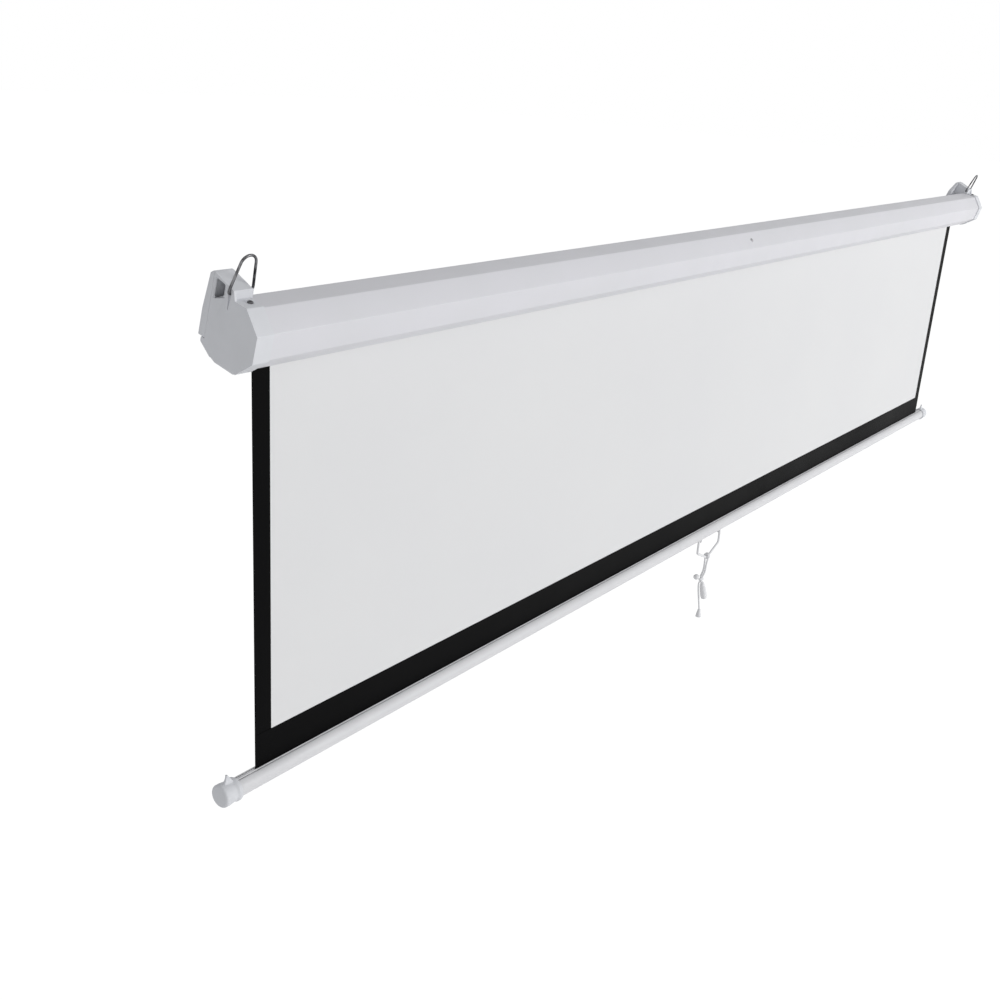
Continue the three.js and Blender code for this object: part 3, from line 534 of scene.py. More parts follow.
def circle(radius, segments, middle=(0, 0), start=0.0, sweep=2 * math.pi):
    """Points round a circle, or along an arc of it with both its ends."""
    whole = abs(sweep - 2 * math.pi) < 1e-9
    steps = segments if whole else segments - 1
    angles = [start + sweep * k / steps for k in range(segments)]
    x, y = middle
    return [Vector((x + radius * math.cos(a), y + radius * math.sin(a))) for a in angles]


def octagon(half_flat):
    """Its corners, from the upper one on the right round to the lower one on the right."""
    reach = half_flat / math.cos(math.pi / 8)
    angles = [math.pi / 8 + i * math.pi / 4 for i in range(8)]
    return [(reach * math.cos(a), reach * math.sin(a)) for a in angles]


def rectangle(low_a, high_a, low_b, high_b):
    return [(low_a, low_b), (high_a, low_b), (high_a, high_b), (low_a, high_b)]


def resampled(points, gap):
    """The line with points about one gap apart, its corners kept."""
    made = [points[0]]
    for a, b in zip(points, points[1:]):
        steps = max(1, math.ceil((b - a).length / gap))
        made += [a.lerp(b, k / steps) for k in range(1, steps + 1)]
    return made


# Meshes

def placed(name, data):
    """A new object in the scene."""
    made = bpy.data.objects.new(name, data)
    bpy.context.scene.collection.objects.link(made)
    return made


def mesh_of(name, verts, faces, *materials):
    mesh = bpy.data.meshes.new(name)
    mesh.from_pydata([tuple(v) for v in verts], [], faces)
    for material in materials:
        mesh.materials.append(material)
    return mesh


def finished(name, verts, faces, material, matrix=None, smooth=35):
    """An object with its faces turned outwards and its soft edges shaded round."""
    made = placed(name, mesh_of(name, verts, faces, material))
    if matrix is not None:
        made.data.transform(matrix)
    settle(made, smooth)
    return made


def settle(obj, smooth=35, weld=1e-6):
    """Joins doubled points, turns the faces outwards and shades edges round up to an angle."""
    work = bmesh.new()
    work.from_mesh(obj.data)
    bmesh.ops.remove_doubles(work, verts=work.verts, dist=weld)
    bmesh.ops.dissolve_degenerate(work, edges=work.edges, dist=weld)
    bmesh.ops.recalc_face_normals(work, faces=work.faces)
    work.to_mesh(obj.data)
    work.free()
    for face in obj.data.polygons:
        face.use_smooth = True
    obj.data.set_sharp_from_angle(angle=math.radians(smooth))


def loft(name, rings, material, matrix=None, smooth=35):
    """Rings of one count of points, joined in order."""
    count = len(rings[0])
    verts = [v for ring in rings for v in ring]
    faces = []
    for low in range(0, len(verts) - count, count):
        high = low + count
        for k in range(count):
            after = (k + 1) % count
            faces.append((low + k, low + after, high + after, high + k))
    faces.append(tuple(reversed(range(count))))
    faces.append(tuple(range(len(verts) - count, len(verts))))
    return finished(name, verts, faces, material, matrix, smooth)


def prism(name, outline, low, high, material, matrix=None, along="x", smooth=35):
    """An outline in the two other axes, run along x, y or z."""
    place = {
        "x": lambda p, t: (t, *p), "y": lambda p, t: (p[0], t, p[1]), "z": lambda p, t: (*p, t),
    }[along]
    rings = [[place(p, t) for p in outline] for t in (low, high)]
    return loft(name, rings, material, matrix, smooth=smooth)


def block(outline, low, high, material=cap_plastic, along="x"):
    """A prism to join to a piece or to cut out of it."""
    return prism("block", outline, low, high, material, along=along)


def lathe(name, profile, material, matrix=None, segments=64, smooth=35):
    """A (radius, height) profile turned about Z, on the axis at both ends or closed on itself."""
    verts, faces, rows = [], [], []
    for radius, height in profile:
        if radius < 1e-7:
            rows.append([len(verts)])
            verts.append((0, 0, height))
            continue
        rows.append(list(range(len(verts), len(verts) + segments)))
        for k in range(segments):
            angle = 2 * math.pi * k / segments
            verts.append((radius * math.cos(angle), radius * math.sin(angle), height))
    closing = rows[:1] if len(rows[0]) > 1 else []
    for low, high in zip(rows, rows[1:] + closing):
        for k in range(segments):
            after = (k + 1) % segments
            around = ((low, k), (low, after), (high, after), (high, k))
            corners = [row[i % len(row)] for row, i in around]
            faces.append(tuple(dict.fromkeys(corners)))
    return finished(name, verts, faces, material, matrix, smooth)


def apply_modifiers(obj):
    depsgraph = bpy.context.evaluated_depsgraph_get()
    mesh = bpy.data.meshes.new_from_object(obj.evaluated_get(depsgraph))
    obj.modifiers.clear()
    obj.data = mesh


def combine(obj, others, operation):
    """Joins others to the object or cuts them out of it."""
    for other in others:
        modifier = obj.modifiers.new("combine", "BOOLEAN")
        modifier.operation = operation
        modifier.solver = "EXACT"
        modifier.object = other
    apply_modifiers(obj)
    for other in others:
        bpy.data.objects.remove(other)


def soften(obj, width):
    """Rounds the object's sharp edges."""
    modifier = obj.modifiers.new("soften", "BEVEL")
    modifier.width = width
    modifier.segments = SOFT_EDGE_STEPS
    modifier.limit_method = "ANGLE"
    modifier.angle_limit = SOFT_EDGE_ANGLE
    modifier.miter_outer = "MITER_ARC"
    apply_modifiers(obj)
    settle(obj)


def dress_pair(build, kind, body, slot):
    """The right-hand piece and its mirrored copy. A body's name may hold {side}."""
    right = build(f"right_{kind}_form")
    left = placed(f"left_{kind}_form", right.data.copy())
    left.data.transform(Matrix.Scale(-1, 4, (1, 0, 0)))
    settle(left)
    for side, piece in (("left", left), ("right", right)):
        dress(piece, body.format(side=side), slot, f"{side}_{kind}")


def tube(name, points, radius, material, matrix=None, sides=16, domed=True, smooth=60):
    """A round rod along points, its radius one number or a function of the angle and the length."""
    radius_at = radius if callable(radius) else (lambda angle, along: radius)
    along = 0.0
    rings = []
    tangent = (points[1] - points[0]).normalized()
    side = tangent.orthogonal().normalized()
    for i, at in enumerate(points):
        before = points[max(i - 1, 0)]
        after = points[min(i + 1, len(points) - 1)]
        heading = (after - before).normalized()
        side = (side - heading * side.dot(heading)).normalized()
        other = heading.cross(side)
        along += (at - before).length
        shares = [(0.0, 1.0)]
        if domed and i == 0:
            shares = [(-math.cos(a), math.sin(a)) for a in ROD_END_ANGLES] + shares
        if domed and i == len(points) - 1:
            shares += [(math.cos(a), math.sin(a)) for a in reversed(ROD_END_ANGLES)]
        for push, share in shares:
            ring = []
            for k in range(sides):
                angle = 2 * math.pi * k / sides
                reach = radius_at(angle, along)
                arm = side * math.cos(angle) + other * math.sin(angle)
                ring.append(at + heading * push * reach + arm * share * reach)
            rings.append(ring)
    return loft(name, rings, material, matrix, smooth=smooth)


def bent_rod(name, half, thick, material, place, sides):
    """A rod through corners of x, z and the radius of the bend, and through their mirror images."""
    corners = half + [(-x, z, radius) for x, z, radius in reversed(half)]
    points = [Vector((x, 0, z)) for x, z, radius in corners]
    line = points[:1]
    for before, at, after, corner in zip(points, points[1:], points[2:], corners[1:]):
        radius = corner[2]
        into, out = (at - before).normalized(), (after - at).normalized()
        turn = into.angle(out)
        start = at - into * radius * math.tan(turn / 2)
        axis = into.cross(out).normalized()
        centre = start + axis.cross(into) * radius
        steps = max(3, math.ceil(radius * turn / WIRE_STEP))
        line += [
            centre + Matrix.Rotation(turn * k / steps, 3, axis) @ (start - centre)
            for k in range(steps + 1)
        ]
    line = resampled(line + points[-1:], WIRE_STEP * 4)
    return tube(name, line, thick, material, place, sides)


def between(first, second, start, end, at):
    """The point that a line from one point, passed at start, to another, passed at end, has at."""
    return first * ((end - at) / (end - start)) + second * ((at - start) / (end - start))


def smooth_line(points, gap):
    """A centripetal curve through the points, sampled about one gap apart."""
    line = points[:1]
    points = [2 * points[0] - points[1], *points, 2 * points[-1] - points[-2]]
    for i in range(1, len(points) - 2):
        p = points[i - 1:i + 3]
        t = [0.0]
        for a, b in zip(p, p[1:]):
            t.append(t[-1] + (b - a).length ** 0.5)
        steps = max(2, math.ceil((p[2] - p[1]).length / gap))
        for k in range(1, steps + 1):
            u = t[1] + (t[2] - t[1]) * k / steps
            a = [between(p[j], p[j + 1], t[j], t[j + 1], u) for j in range(3)]
            b = [between(a[j], a[j + 1], t[j], t[j + 2], u) for j in range(2)]
            line.append(between(b[0], b[1], t[1], t[2], u))
    return line


def in_cord_frame(points):
    return [CORD_PIVOT + Vector(p) * MM for p in points]


def dress(obj, body, slot, *nodes):
    """Rides the piece on a body and lets it stand for the nodes."""
    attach(obj, body)
    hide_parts(*nodes)


# Case

def case_shell():
    """A rolled octagon, open at the slot, with folded lips."""
    half, inner = CASE_HALF_FLAT, CASE_HALF_FLAT - SHELL_WALL
    low, high = SLOT_MIDDLE - SLOT_WIDE / 2, SLOT_MIDDLE + SLOT_WIDE / 2
    near_lip, far_lip = low - SHELL_WALL, high + SHELL_WALL
    lip_top = -half + SLOT_LIP
    outside, inside = (
        [(x, y, bend) for x, y in octagon(flat)[-1:] + octagon(flat)[:6]]
        for flat, bend in ((half, CASE_CORNER), (inner, CASE_CORNER - SHELL_WALL))
    )
    outline = rounded([
        (high, -half), (half * HALF_SIDE_SHARE, -half, LIP_CREASE), *outside,
        (low, -half, LIP_BEND), (low, lip_top, LIP_CORNER), (near_lip, lip_top, LIP_CORNER),
        (near_lip, -inner, LIP_ROOT), *reversed(inside),
        (far_lip, -inner + (far_lip - inner * HALF_SIDE_SHARE)), (far_lip, lip_top, LIP_CORNER),
        (high, lip_top, LIP_CORNER),
    ])
    return prism("case_shell_form", outline, -SHELL_HALF, SHELL_HALF, paint, CASE)


def end_cap_outline():
    """An octagon with a foot and a heel under it, and a lip below the wall plate."""
    h, t = CAP_OUTER, CAP_OUTER * HALF_SIDE_SHARE
    foot = -h - CAP_FOOT_DROP
    lip_top = PLATE_BOTTOM - SEAT
    return rounded([
        (t + CAP_HEEL, foot), (h + CAP_LIP_DEPTH, lip_top - CAP_LIP_HEIGHT),
        (h + CAP_LIP_DEPTH, lip_top, CAP_LIP_CORNER), (h, lip_top, 0), (h, t), (t, h), (-t, h),
        (-h, t), (-h, -t), (-t, -h), (-CAP_FOOT_FRONT, foot),
    ], CAP_CORNER)


def cap_wedge():
    """The block that slopes up from the ear to the wall plate, and the hollow behind its window."""
    h = CAP_OUTER
    foot = (CAP_INNER + CAP_OUTER) / 2
    turn = foot * HALF_SIDE_SHARE
    slope = (GUSSET_UP - GUSSET_FRONT_UP) / (h - GUSSET_FRONT)
    low, high = CAP_END - PLATE_TOP, CAP_END - CAP_FACE
    back = EAR_BACK + WEDGE_WALL
    end = h + PLATE_OVERRUN

    def roof(y):
        return GUSSET_FRONT_UP + (y - GUSSET_FRONT) * slope

    wedge = block([
        (EAR_FRONT, foot), (turn, foot), (foot, turn), (h - SLIVER, turn), (h - SLIVER, roof(h)),
        (EAR_FRONT, roof(EAR_FRONT)),
    ], low, high + CAP_FACE / 2)
    floor = CAP_OUTER * (1 + HALF_SIDE_SHARE) + WEDGE_FLOOR
    hollow = block([
        (back, floor - back), (end, floor - end), (end, roof(end) - WEDGE_WALL),
        (back, roof(back) - WEDGE_WALL),
    ], low + WEDGE_WALL, high)
    return wedge, hollow


def cap_window(inside):
    """What the gusset's window takes out, with its flared mouth."""
    opening = rounded([
        (WINDOW_NEAR, WINDOW_LOW + WINDOW_RISE), (WINDOW_FAR, WINDOW_LOW),
        (WINDOW_FAR, WINDOW_HIGH), (WINDOW_NEAR, WINDOW_HIGH - WINDOW_FALL),
    ], WINDOW_CORNER)
    middle = Vector((WINDOW_NEAR + WINDOW_FAR, WINDOW_LOW + WINDOW_HIGH)) / 2
    forward = Vector((WINDOW_FLARE_SHIFT, 0))
    mouth = [middle + (p - middle) * Vector(WINDOW_FLARE) - forward for p in opening]
    rings = (
        (inside - OVERRUN, opening), (CAP_END - WINDOW_FLARE_DEEP, opening),
        (CAP_END + SLIVER, mouth),
    )
    return loft("block", [[(x, y, z) for y, z in ring] for x, ring in rings], cap_plastic)


def end_cap(name):
    """A moulded cap: face, collar, gusset with its window, and the ear that the loop turns in."""
    h, t = CAP_OUTER, CAP_OUTER * HALF_SIDE_SHARE
    inside = CAP_END - CAP_FACE
    open_end = CAP_END - CAP_COLLAR
    ear_outer = CAP_END - EAR_FROM_FACE
    ear_inner = ear_outer - EAR_LENGTH
    past = CAP_END + OVERRUN
    foot = -h - CAP_FOOT_DROP
    cup = prism(name, end_cap_outline(), open_end, CAP_END, cap_plastic)
    cavity = block(rounded(octagon(CAP_INNER), CASE_CORNER), open_end - OVERRUN, inside)
    combine(cup, [cavity], "DIFFERENCE")

    gusset = block(rounded([
        (GUSSET_FOOT, h - CAP_WALL, 0), (h - SLIVER, t - CAP_WALL, 0),
        (h - SLIVER, GUSSET_UP, GUSSET_BACK_CORNER),
        (GUSSET_FRONT, GUSSET_FRONT_UP, GUSSET_FRONT_CORNER),
    ]), inside + SLIVER, CAP_END - SLIVER)
    ear_shape = rounded(rectangle(EAR_FRONT, EAR_BACK, EAR_FOOT, EAR_TOP), EAR_CORNER)
    ear = block(ear_shape, ear_inner, ear_outer)
    socket = block(circle(SOCKET_RADIUS, 48), inside - SOCKET_DEPTH, inside + CAP_FACE / 2)
    wedge, hollow = cap_wedge()
    combine(cup, [gusset, ear, socket, wedge], "UNION")

    slit = block([
        (LOOP_PIVOT_BACK - SLIT_FOOT_WIDE / 2, SLIT_LOW),
        (LOOP_PIVOT_BACK + SLIT_FOOT_WIDE / 2, SLIT_LOW),
        (LOOP_PIVOT_BACK + SLIT_TOP_WIDE / 2, LOOP_PIVOT_UP),
        (LOOP_PIVOT_BACK - SLIT_TOP_WIDE / 2, LOOP_PIVOT_UP),
    ], CAP_END - SLIT_DEEP, past)
    bore = circle(WIRE + LOOP_CLEAR, 24, (LOOP_PIVOT_BACK, LOOP_PIVOT_UP))
    pivot = block(bore, ear_inner - OVERRUN, past)
    core = block(circle(SOCKET_BORE, 32), inside - SOCKET_DEPTH - OVERRUN, inside)
    chamfer = block([
        (past, foot - OVERRUN), (past, foot + CAP_CHAMFER_UP), (CAP_END, foot + CAP_CHAMFER_UP),
        (CAP_END - CAP_CHAMFER_IN, foot), (CAP_END - CAP_CHAMFER_IN, foot - OVERRUN),
    ], -CAP_FOOT_FRONT - CAP_CHAMFER_UP, t + CAP_HEEL + CAP_CHAMFER_UP, along="y")
    combine(cup, [hollow, cap_window(inside), slit, pivot, core, chamfer], "DIFFERENCE")
    soften(cup, CAP_EDGE)
    cup.data.transform(CASE)
    return cup


def wall_plate(name):
    """A plate behind the cap with a keyhole and screw pockets, its back leaning in to the top."""
    outline = rounded([
        (CAP_END - PLATE_BASE, PLATE_BOTTOM), (CAP_END, PLATE_BOTTOM), (CAP_END, GUSSET_UP),
        (CAP_END - PLATE_TOP, GUSSET_UP), (CAP_END - PLATE_BASE, PLATE_SHOULDER),
    ], PLATE_CORNER)
    plate = prism(name, outline, PLATE_FRONT, PLATE_BACK, cap_plastic, along="y")
    x = CAP_END - KEYHOLE_IN
    screw_x = CAP_END - PLATE_SCREW_IN
    neck = rectangle(x - KEYHOLE_NECK, x + KEYHOLE_NECK, KEYHOLE_LOW, KEYHOLE_HIGH)
    bevel = PLATE_HEAD_BACK - PLATE_HEAD_BEVEL
    behind = PLATE_BACK + PLATE_OVERRUN

    def through(shape, low=PLATE_FRONT - PLATE_OVERRUN):
        return block(shape, low, behind, along="y")

    lean = block([
        (PLATE_BACK, PLATE_FLAT_UP), (behind, PLATE_FLAT_UP), (behind, GUSSET_UP + PLATE_OVERRUN),
        (bevel, GUSSET_UP + PLATE_OVERRUN), (bevel, GUSSET_UP),
        (PLATE_HEAD_BACK, GUSSET_UP - PLATE_HEAD_BEVEL),
    ], CAP_END - PLATE_BASE - PLATE_OVERRUN, CAP_END + PLATE_OVERRUN)
    cutters = [
        lean,
        through(circle(KEYHOLE_HEAD, 40, (x, KEYHOLE_LOW))),
        through(rounded(neck, KEYHOLE_ROUNDING)),
    ]
    for z in PLATE_SCREW_ROWS:
        cutters.append(through(circle(SCREW_SHANK + SCREW_ROOM, 24, (screw_x, z))))
        pocket = circle(SCREW_HEAD + SCREW_ROOM, 32, (screw_x, z))
        cutters.append(through(pocket, PLATE_FRONT + PLATE_SCREW_SEAT))
    combine(plate, cutters, "DIFFERENCE")
    soften(plate, PLATE_EDGE)
    plate.data.transform(CASE)
    return plate


def screw(name, at, matrix, length):
    """A cross-head screw, its head's seat at a place and its shank running down."""
    profile = [(0, -length), (SCREW_SHANK, -length + SCREW_SHANK), (SCREW_SHANK, 0)]
    profile += [(SCREW_HEAD * a, SCREW_HEAD_HIGH * b) for a, b in SCREW_DOME_SHARES]
    made = lathe(name, profile, dark_screw, segments=32)
    arm, half = SCREW_HEAD * CROSS_ARM_SHARE, SCREW_HEAD * CROSS_HALF_SHARE
    floor, top = SCREW_HEAD_HIGH * CROSS_FLOOR_SHARE, SCREW_HEAD_HIGH + OVERRUN
    cutters = [
        block(rectangle(-a, a, -b, b), floor, top, dark_screw, along="z")
        for a, b in ((arm, half), (half, arm))
    ]
    combine(made, cutters, "DIFFERENCE")
    made.data.transform(matrix @ Matrix.Translation(Vector(at)))
    settle(made, 40)
    return made


def wire_loop(name):
    """A wire bent to a loop, each leg turned in at its foot to sit in the ear."""
    middle = (EAR_FROM_FACE + EAR_LENGTH) / 2
    leg = middle + LOOP_CLEAR + WIRE
    half = [
        (leg - LOOP_FOOT, 0, 0), (leg, 0, LOOP_BEND), (leg, LOOP_STRAIGHT, LOOP_KNEE_BEND),
        (LOOP_SHOULDER, LOOP_HIGH, LOOP_CROWN_BEND),
    ]
    pivot = Matrix.Translation((CAP_END - middle, LOOP_PIVOT_BACK, LOOP_PIVOT_UP))
    place = CASE @ pivot @ Matrix.Rotation(LOOP_LEAN, 4, "X")
    return bent_rod(name, half, WIRE, wire_painted_glints, place, 16)


def front_rivet():
    """A dome-headed rivet on the upper front flat."""
    profile = [
        (0, -RIVET_SHANK_LONG), (RIVET_SHANK, -RIVET_SHANK_LONG), (RIVET_SHANK, RIVET_SEAT),
        (RIVET_HEAD, RIVET_SEAT),
    ]
    profile += [
        (RIVET_HEAD * math.cos(a), RIVET_RIM + (RIVET_HIGH - RIVET_RIM) * math.sin(a))
        for a in RIVET_DOME_ANGLES
    ]
    profile.append((0, RIVET_HIGH))
    flat = Matrix.Translation((-RIVET_FROM_MIDDLE, 0, CASE_HALF_FLAT))
    place = CASE @ Matrix.Rotation(math.pi / 4, 4, "X") @ flat
    return lathe("front_rivet_form", profile, rivet_steel, place, segments=40)


def make_case():
    dress(case_shell(), "case", "case_paint", "case_shell")
    dress_pair(end_cap, "end_cap", "case", "cap_plastic")
    dress_pair(wall_plate, "wall_plate", "case", "cap_plastic")
    dress_pair(wire_loop, "hanging_loop", "{side}_loop", "dark_steel")
    dress(front_rivet(), "case", "dark_steel", "front_rivet")

    collar = (CAP_END - CAP_SCREW_IN, -CAP_SCREW_FORWARD, CAP_OUTER + SEAT)
    screws = {"cap_screw": (collar, CASE, CAP_SCREW_LONG)}
    to_back = CASE @ Matrix.Rotation(-math.pi / 2, 4, "X")
    pocket = PLATE_FRONT + PLATE_SCREW_SEAT + SEAT
    for row, z in enumerate(PLATE_SCREW_ROWS, 1):
        at = (CAP_END - PLATE_SCREW_IN, -z, pocket)
        screws[f"plate_screw_{row}"] = (at, to_back, PLATE_SCREW_LONG)
    for kind, place in screws.items():
        dress_pair(lambda name: screw(name, *place), kind, "case", "dark_steel")


# Roller and what is sealed inside it

def wound_sheet():
    """The sheet still on the roller, wound as one spiral."""
    start_radius = TUBE_HIGH.y + SEAT
    end_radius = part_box("wound_sheet")[1].y - ROLL_SHEET
    turns = (end_radius - start_radius) / ROLL_PITCH
    steps = int(turns * ROLL_TURN_STEPS)
    inner, outer = [], []
    for k in range(steps + 1):
        share = k / steps
        angle = -2 * math.pi * turns * (1 - share)
        radius = start_radius + (end_radius - start_radius) * share
        arm = Vector((math.cos(angle), math.sin(angle)))
        inner.append(arm * radius)
        outer.append(arm * (radius + ROLL_SHEET))
    outline = inner + outer[::-1]
    made = prism(
        "wound_sheet_form", outline, SHEET_LOW.x, SHEET_HIGH.x, sheet_black,
        Matrix.Translation(ROLLER_AXIS), smooth=60,
    )
    length = sum((b - a).length for a, b in zip(inner, inner[1:]))
    return made, length


def torsion_spring():
    """The coil inside the roller."""
    outside = (SPRING_HIGH.z - SPRING_LOW.z) / 2
    wire = outside - SPRING_INSIDE
    radius = outside - wire / 2
    pitch = wire * SPRING_PITCH_SHARE
    long = SPRING_HIGH.x - SPRING_LOW.x - wire
    turns = long / pitch
    points = []
    steps = int(turns * SPRING_TURN_STEPS)
    for k in range(steps + 1):
        angle = 2 * math.pi * turns * k / steps
        points.append(Vector((
            SPRING_LOW.x + wire / 2 + long * k / steps,
            ROLLER_AXIS.y + radius * math.cos(angle),
            ROLLER_AXIS.z + radius * math.sin(angle),
        )))
    return tube("torsion_spring_form", points, wire / 2, bright_steel, sides=6)


def make_roller():
    roll, length = wound_sheet()
    dress(roll, "roller", "sheet_fabric", "wound_sheet")
    dress(torsion_spring(), "case", "dark_steel", "torsion_spring")
    steel = (
        "roller_tube", "idle_pin", "spring_collar", "spring_spindle", "ratchet_disc",
        "upper_pawl", "lower_pawl",
    )
    looks = dict.fromkeys(steel, bright_steel)
    looks |= dict.fromkeys(("spring_plug", "idle_plug", "spring_anchor"), fitting_plastic)
    looks |= dict.fromkeys(("idle_bush", "upper_pawl_pin", "lower_pawl_pin"), brass)
    for name, material in looks.items():
        carried = frame["nodes"][name]
        carried.data.materials.clear()
        carried.data.materials.append(material)


# Sheet

def ripple(x, z):
    """How far the cloth stands off its plane: none at the slot and the bar."""
    top, low = SHEET_HIGH.z, SHEET_LOW.z
    share = min(max((top - z) / (top - low), 0), 1)
    swell = math.sin(math.pi * share)
    place = Vector((x * SWELLS_ACROSS, 0.0, z * SWELLS_DOWN))
    return SHEET_RIPPLE * swell * noise.noise(place)


def hanging_sheet(rows):
    """The sheet over the given heights, black behind, with its borders on the front."""
    half = SHEET_HIGH.x
    edge = half - BORDER_SIDE
    white = [-edge + 2 * edge * k / SHEET_COLUMNS for k in range(1, SHEET_COLUMNS)]
    columns = [-half, -edge, *white, edge, half]
    turn = BAND_HIGH.z
    verts, faces, looks = [], [], []
    for back in (False, True):
        for z in rows:
            for x in columns:
                y = SHEET_MIDDLE + ripple(x, z) + (SHEET_THICK / 2 if back else -SHEET_THICK / 2)
                if not back and z <= turn:
                    y -= BORDER_PROUD
                verts.append((x, y, z))
    wide, tall = len(columns), len(rows)
    layer = wide * tall
    for back in (False, True):
        for r in range(tall - 1):
            for c in range(wide - 1):
                a = back * layer + r * wide + c
                quad = (a, a + 1, a + wide + 1, a + wide)
                faces.append(quad if back else quad[::-1])
                in_band = rows[r] <= turn + BORDER_STEP / 2
                looks.append(int(back or c in (0, wide - 2) or in_band))
    rim = [r * wide for r in range(tall)] + [(tall - 1) * wide + c for c in range(1, wide)]
    rim += [r * wide + wide - 1 for r in range(tall - 2, -1, -1)] + list(range(wide - 2, 0, -1))
    for a, b in zip(rim, rim[1:] + rim[:1]):
        faces.append((a, b, b + layer, a + layer))
        looks.append(1)
    mesh = mesh_of("hanging_sheet", verts, faces, sheet_white, sheet_black)
    mesh.polygons.foreach_set("material_index", looks)
    made = placed("hanging_sheet", mesh)
    settle(made, 50, weld=1e-7)
    return made


def spaced(start, end, count):
    """Heights from start on, a count of equal steps short of end."""
    return [start + (end - start) * k / count for k in range(count)]


def make_sheet():
    """Above the slot the sheet only swings, and it ends short of the roller, to clear it."""
    top, turn, low = SLOT.z + SHEET_ABOVE_SLOT, BAND_HIGH.z, BAND_LOW.z
    step = turn + BORDER_STEP
    rows = spaced(top, SLOT.z, ROWS_ABOVE_SLOT)
    rows += spaced(SLOT.z, step, ROWS_OF_WHITE) + [step]
    rows += spaced(turn, low, ROWS_OF_BAND) + [low]
    sheet = hanging_sheet(rows)
    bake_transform(sheet)
    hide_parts("screen_sheet", "left_border", "right_border", "bottom_border", "sheet_feed")


# Weight bar

def bar_tube():
    """A round tube with a slot along its top for the hem strip."""
    inner = BAR_RADIUS - BAR_WALL
    gap = math.asin(BAR_SLOT / 2 / BAR_RADIUS) + BAR_SLOT_ROLL
    inner_gap = math.asin(BAR_SLOT / 2 / inner)
    up = math.pi / 2
    outer_arc = circle(BAR_RADIUS, 120, (0, 0), up + gap, 2 * math.pi - 2 * gap)
    inner_arc = circle(inner, 96, (0, 0), up - inner_gap, 2 * inner_gap - 2 * math.pi)
    edge = BAR_RADIUS - BAR_SLOT_EDGE
    right = Vector((BAR_SLOT / 2, math.sqrt(edge ** 2 - (BAR_SLOT / 2) ** 2)))
    left = Vector((-right.x, right.y))
    outline = outer_arc + [right] + inner_arc + [left]
    return prism("weight_bar_form", outline, BAR_LOW.x, BAR_HIGH.x, bar_paint, BAR, smooth=30)


def hem_strip():
    """The strip that clamps the hem, its foot wider than the bar's slot."""
    neck, foot, slit = STRIP_NECK / 2, STRIP_FOOT / 2, STRIP_SLIT / 2
    half = [
        (foot, STRIP_FOOT_LOW, STRIP_CORNER), (foot, STRIP_FOOT_TOP, STRIP_CORNER),
        (neck, STRIP_FOOT_TOP, STRIP_ROOT), (neck, STRIP_TOP, STRIP_CORNER),
        (slit, STRIP_TOP, STRIP_SLIT_CORNER), (slit, STRIP_SLIT_FLOOR, 0),
    ]
    other = [(-a, b, r) for a, b, r in half][::-1]
    outline = rounded(half + other)
    return prism(
        "hem_strip_form", outline, BAR_LOW.x, BAR_HIGH.x, fitting_plastic, BAR, smooth=40,
    )


def cap_fin(open_end, face):
    """The fin on the cap, drawn in on all sides to a thin peak."""
    foot = math.sqrt(BAR_CAP_WAIST ** 2 - (FIN_FOOT / 2) ** 2)
    top = BAR_CAP_RADIUS + FIN_HIGH
    crest_end = face - FIN_FROM_FACE - FIN_SLOPE
    base = (open_end + BAR_CAP_FLANGE_LONG / 2, face - FIN_FROM_FACE, FIN_FOOT / 2)
    crest = (crest_end - FIN_CREST, crest_end, FIN_CREST_THICK / 2)
    rows = []
    for step in range(FIN_STEPS + 1):
        rise = step / FIN_STEPS
        shares = (rise, 1 - (1 - rise) ** FIN_HOLLOW, 1 - (1 - rise) ** FIN_THINNING)
        low, high, half = (a + (b - a) * share for a, b, share in zip(base, crest, shares))
        corner = min(FIN_CORNER, FIN_CORNER_SHARE * (high - low))
        z = foot + (top - foot) * rise
        rows.append([(x, y, z) for x, y in rounded(rectangle(low, high, -half, half), corner)])
    return loft("block", rows, cap_plastic)


def bar_cap(name):
    """A moulded cap over the tube's end: a drawn-in waist, a bulging inner lip and a fin."""
    face, open_end = BAR_CAP_HIGH.x, BAR_CAP_LOW.x
    bore = BAR_RADIUS + SEAT
    mouth, end = open_end - SEAT, BAR_HIGH.x + SEAT
    corners = [(0, open_end)]
    corners += [(radius, open_end + along, corner) for radius, along, corner in BAR_CAP_LIP]
    corners += [
        (BAR_CAP_RADIUS, face - BAR_CAP_RIM, BAR_CAP_RIM_BEND),
        (BAR_CAP_RADIUS, face, BAR_CAP_EDGE), (0, face),
    ]
    profile = [tuple(p) for p in rounded(corners, closed=False)]
    to_x = Matrix.Rotation(math.pi / 2, 4, "Y")
    cup = lathe(name, profile, cap_plastic, to_x, segments=96, smooth=30)
    combine(cup, [cap_fin(open_end, face)], "UNION")
    outline = [(0, mouth), (bore, mouth), (bore, end), (0, end)]
    hollow = lathe("block", outline, cap_plastic, to_x, segments=96)
    combine(cup, [hollow], "DIFFERENCE")
    cup.data.transform(BAR)
    settle(cup, 40)
    return cup


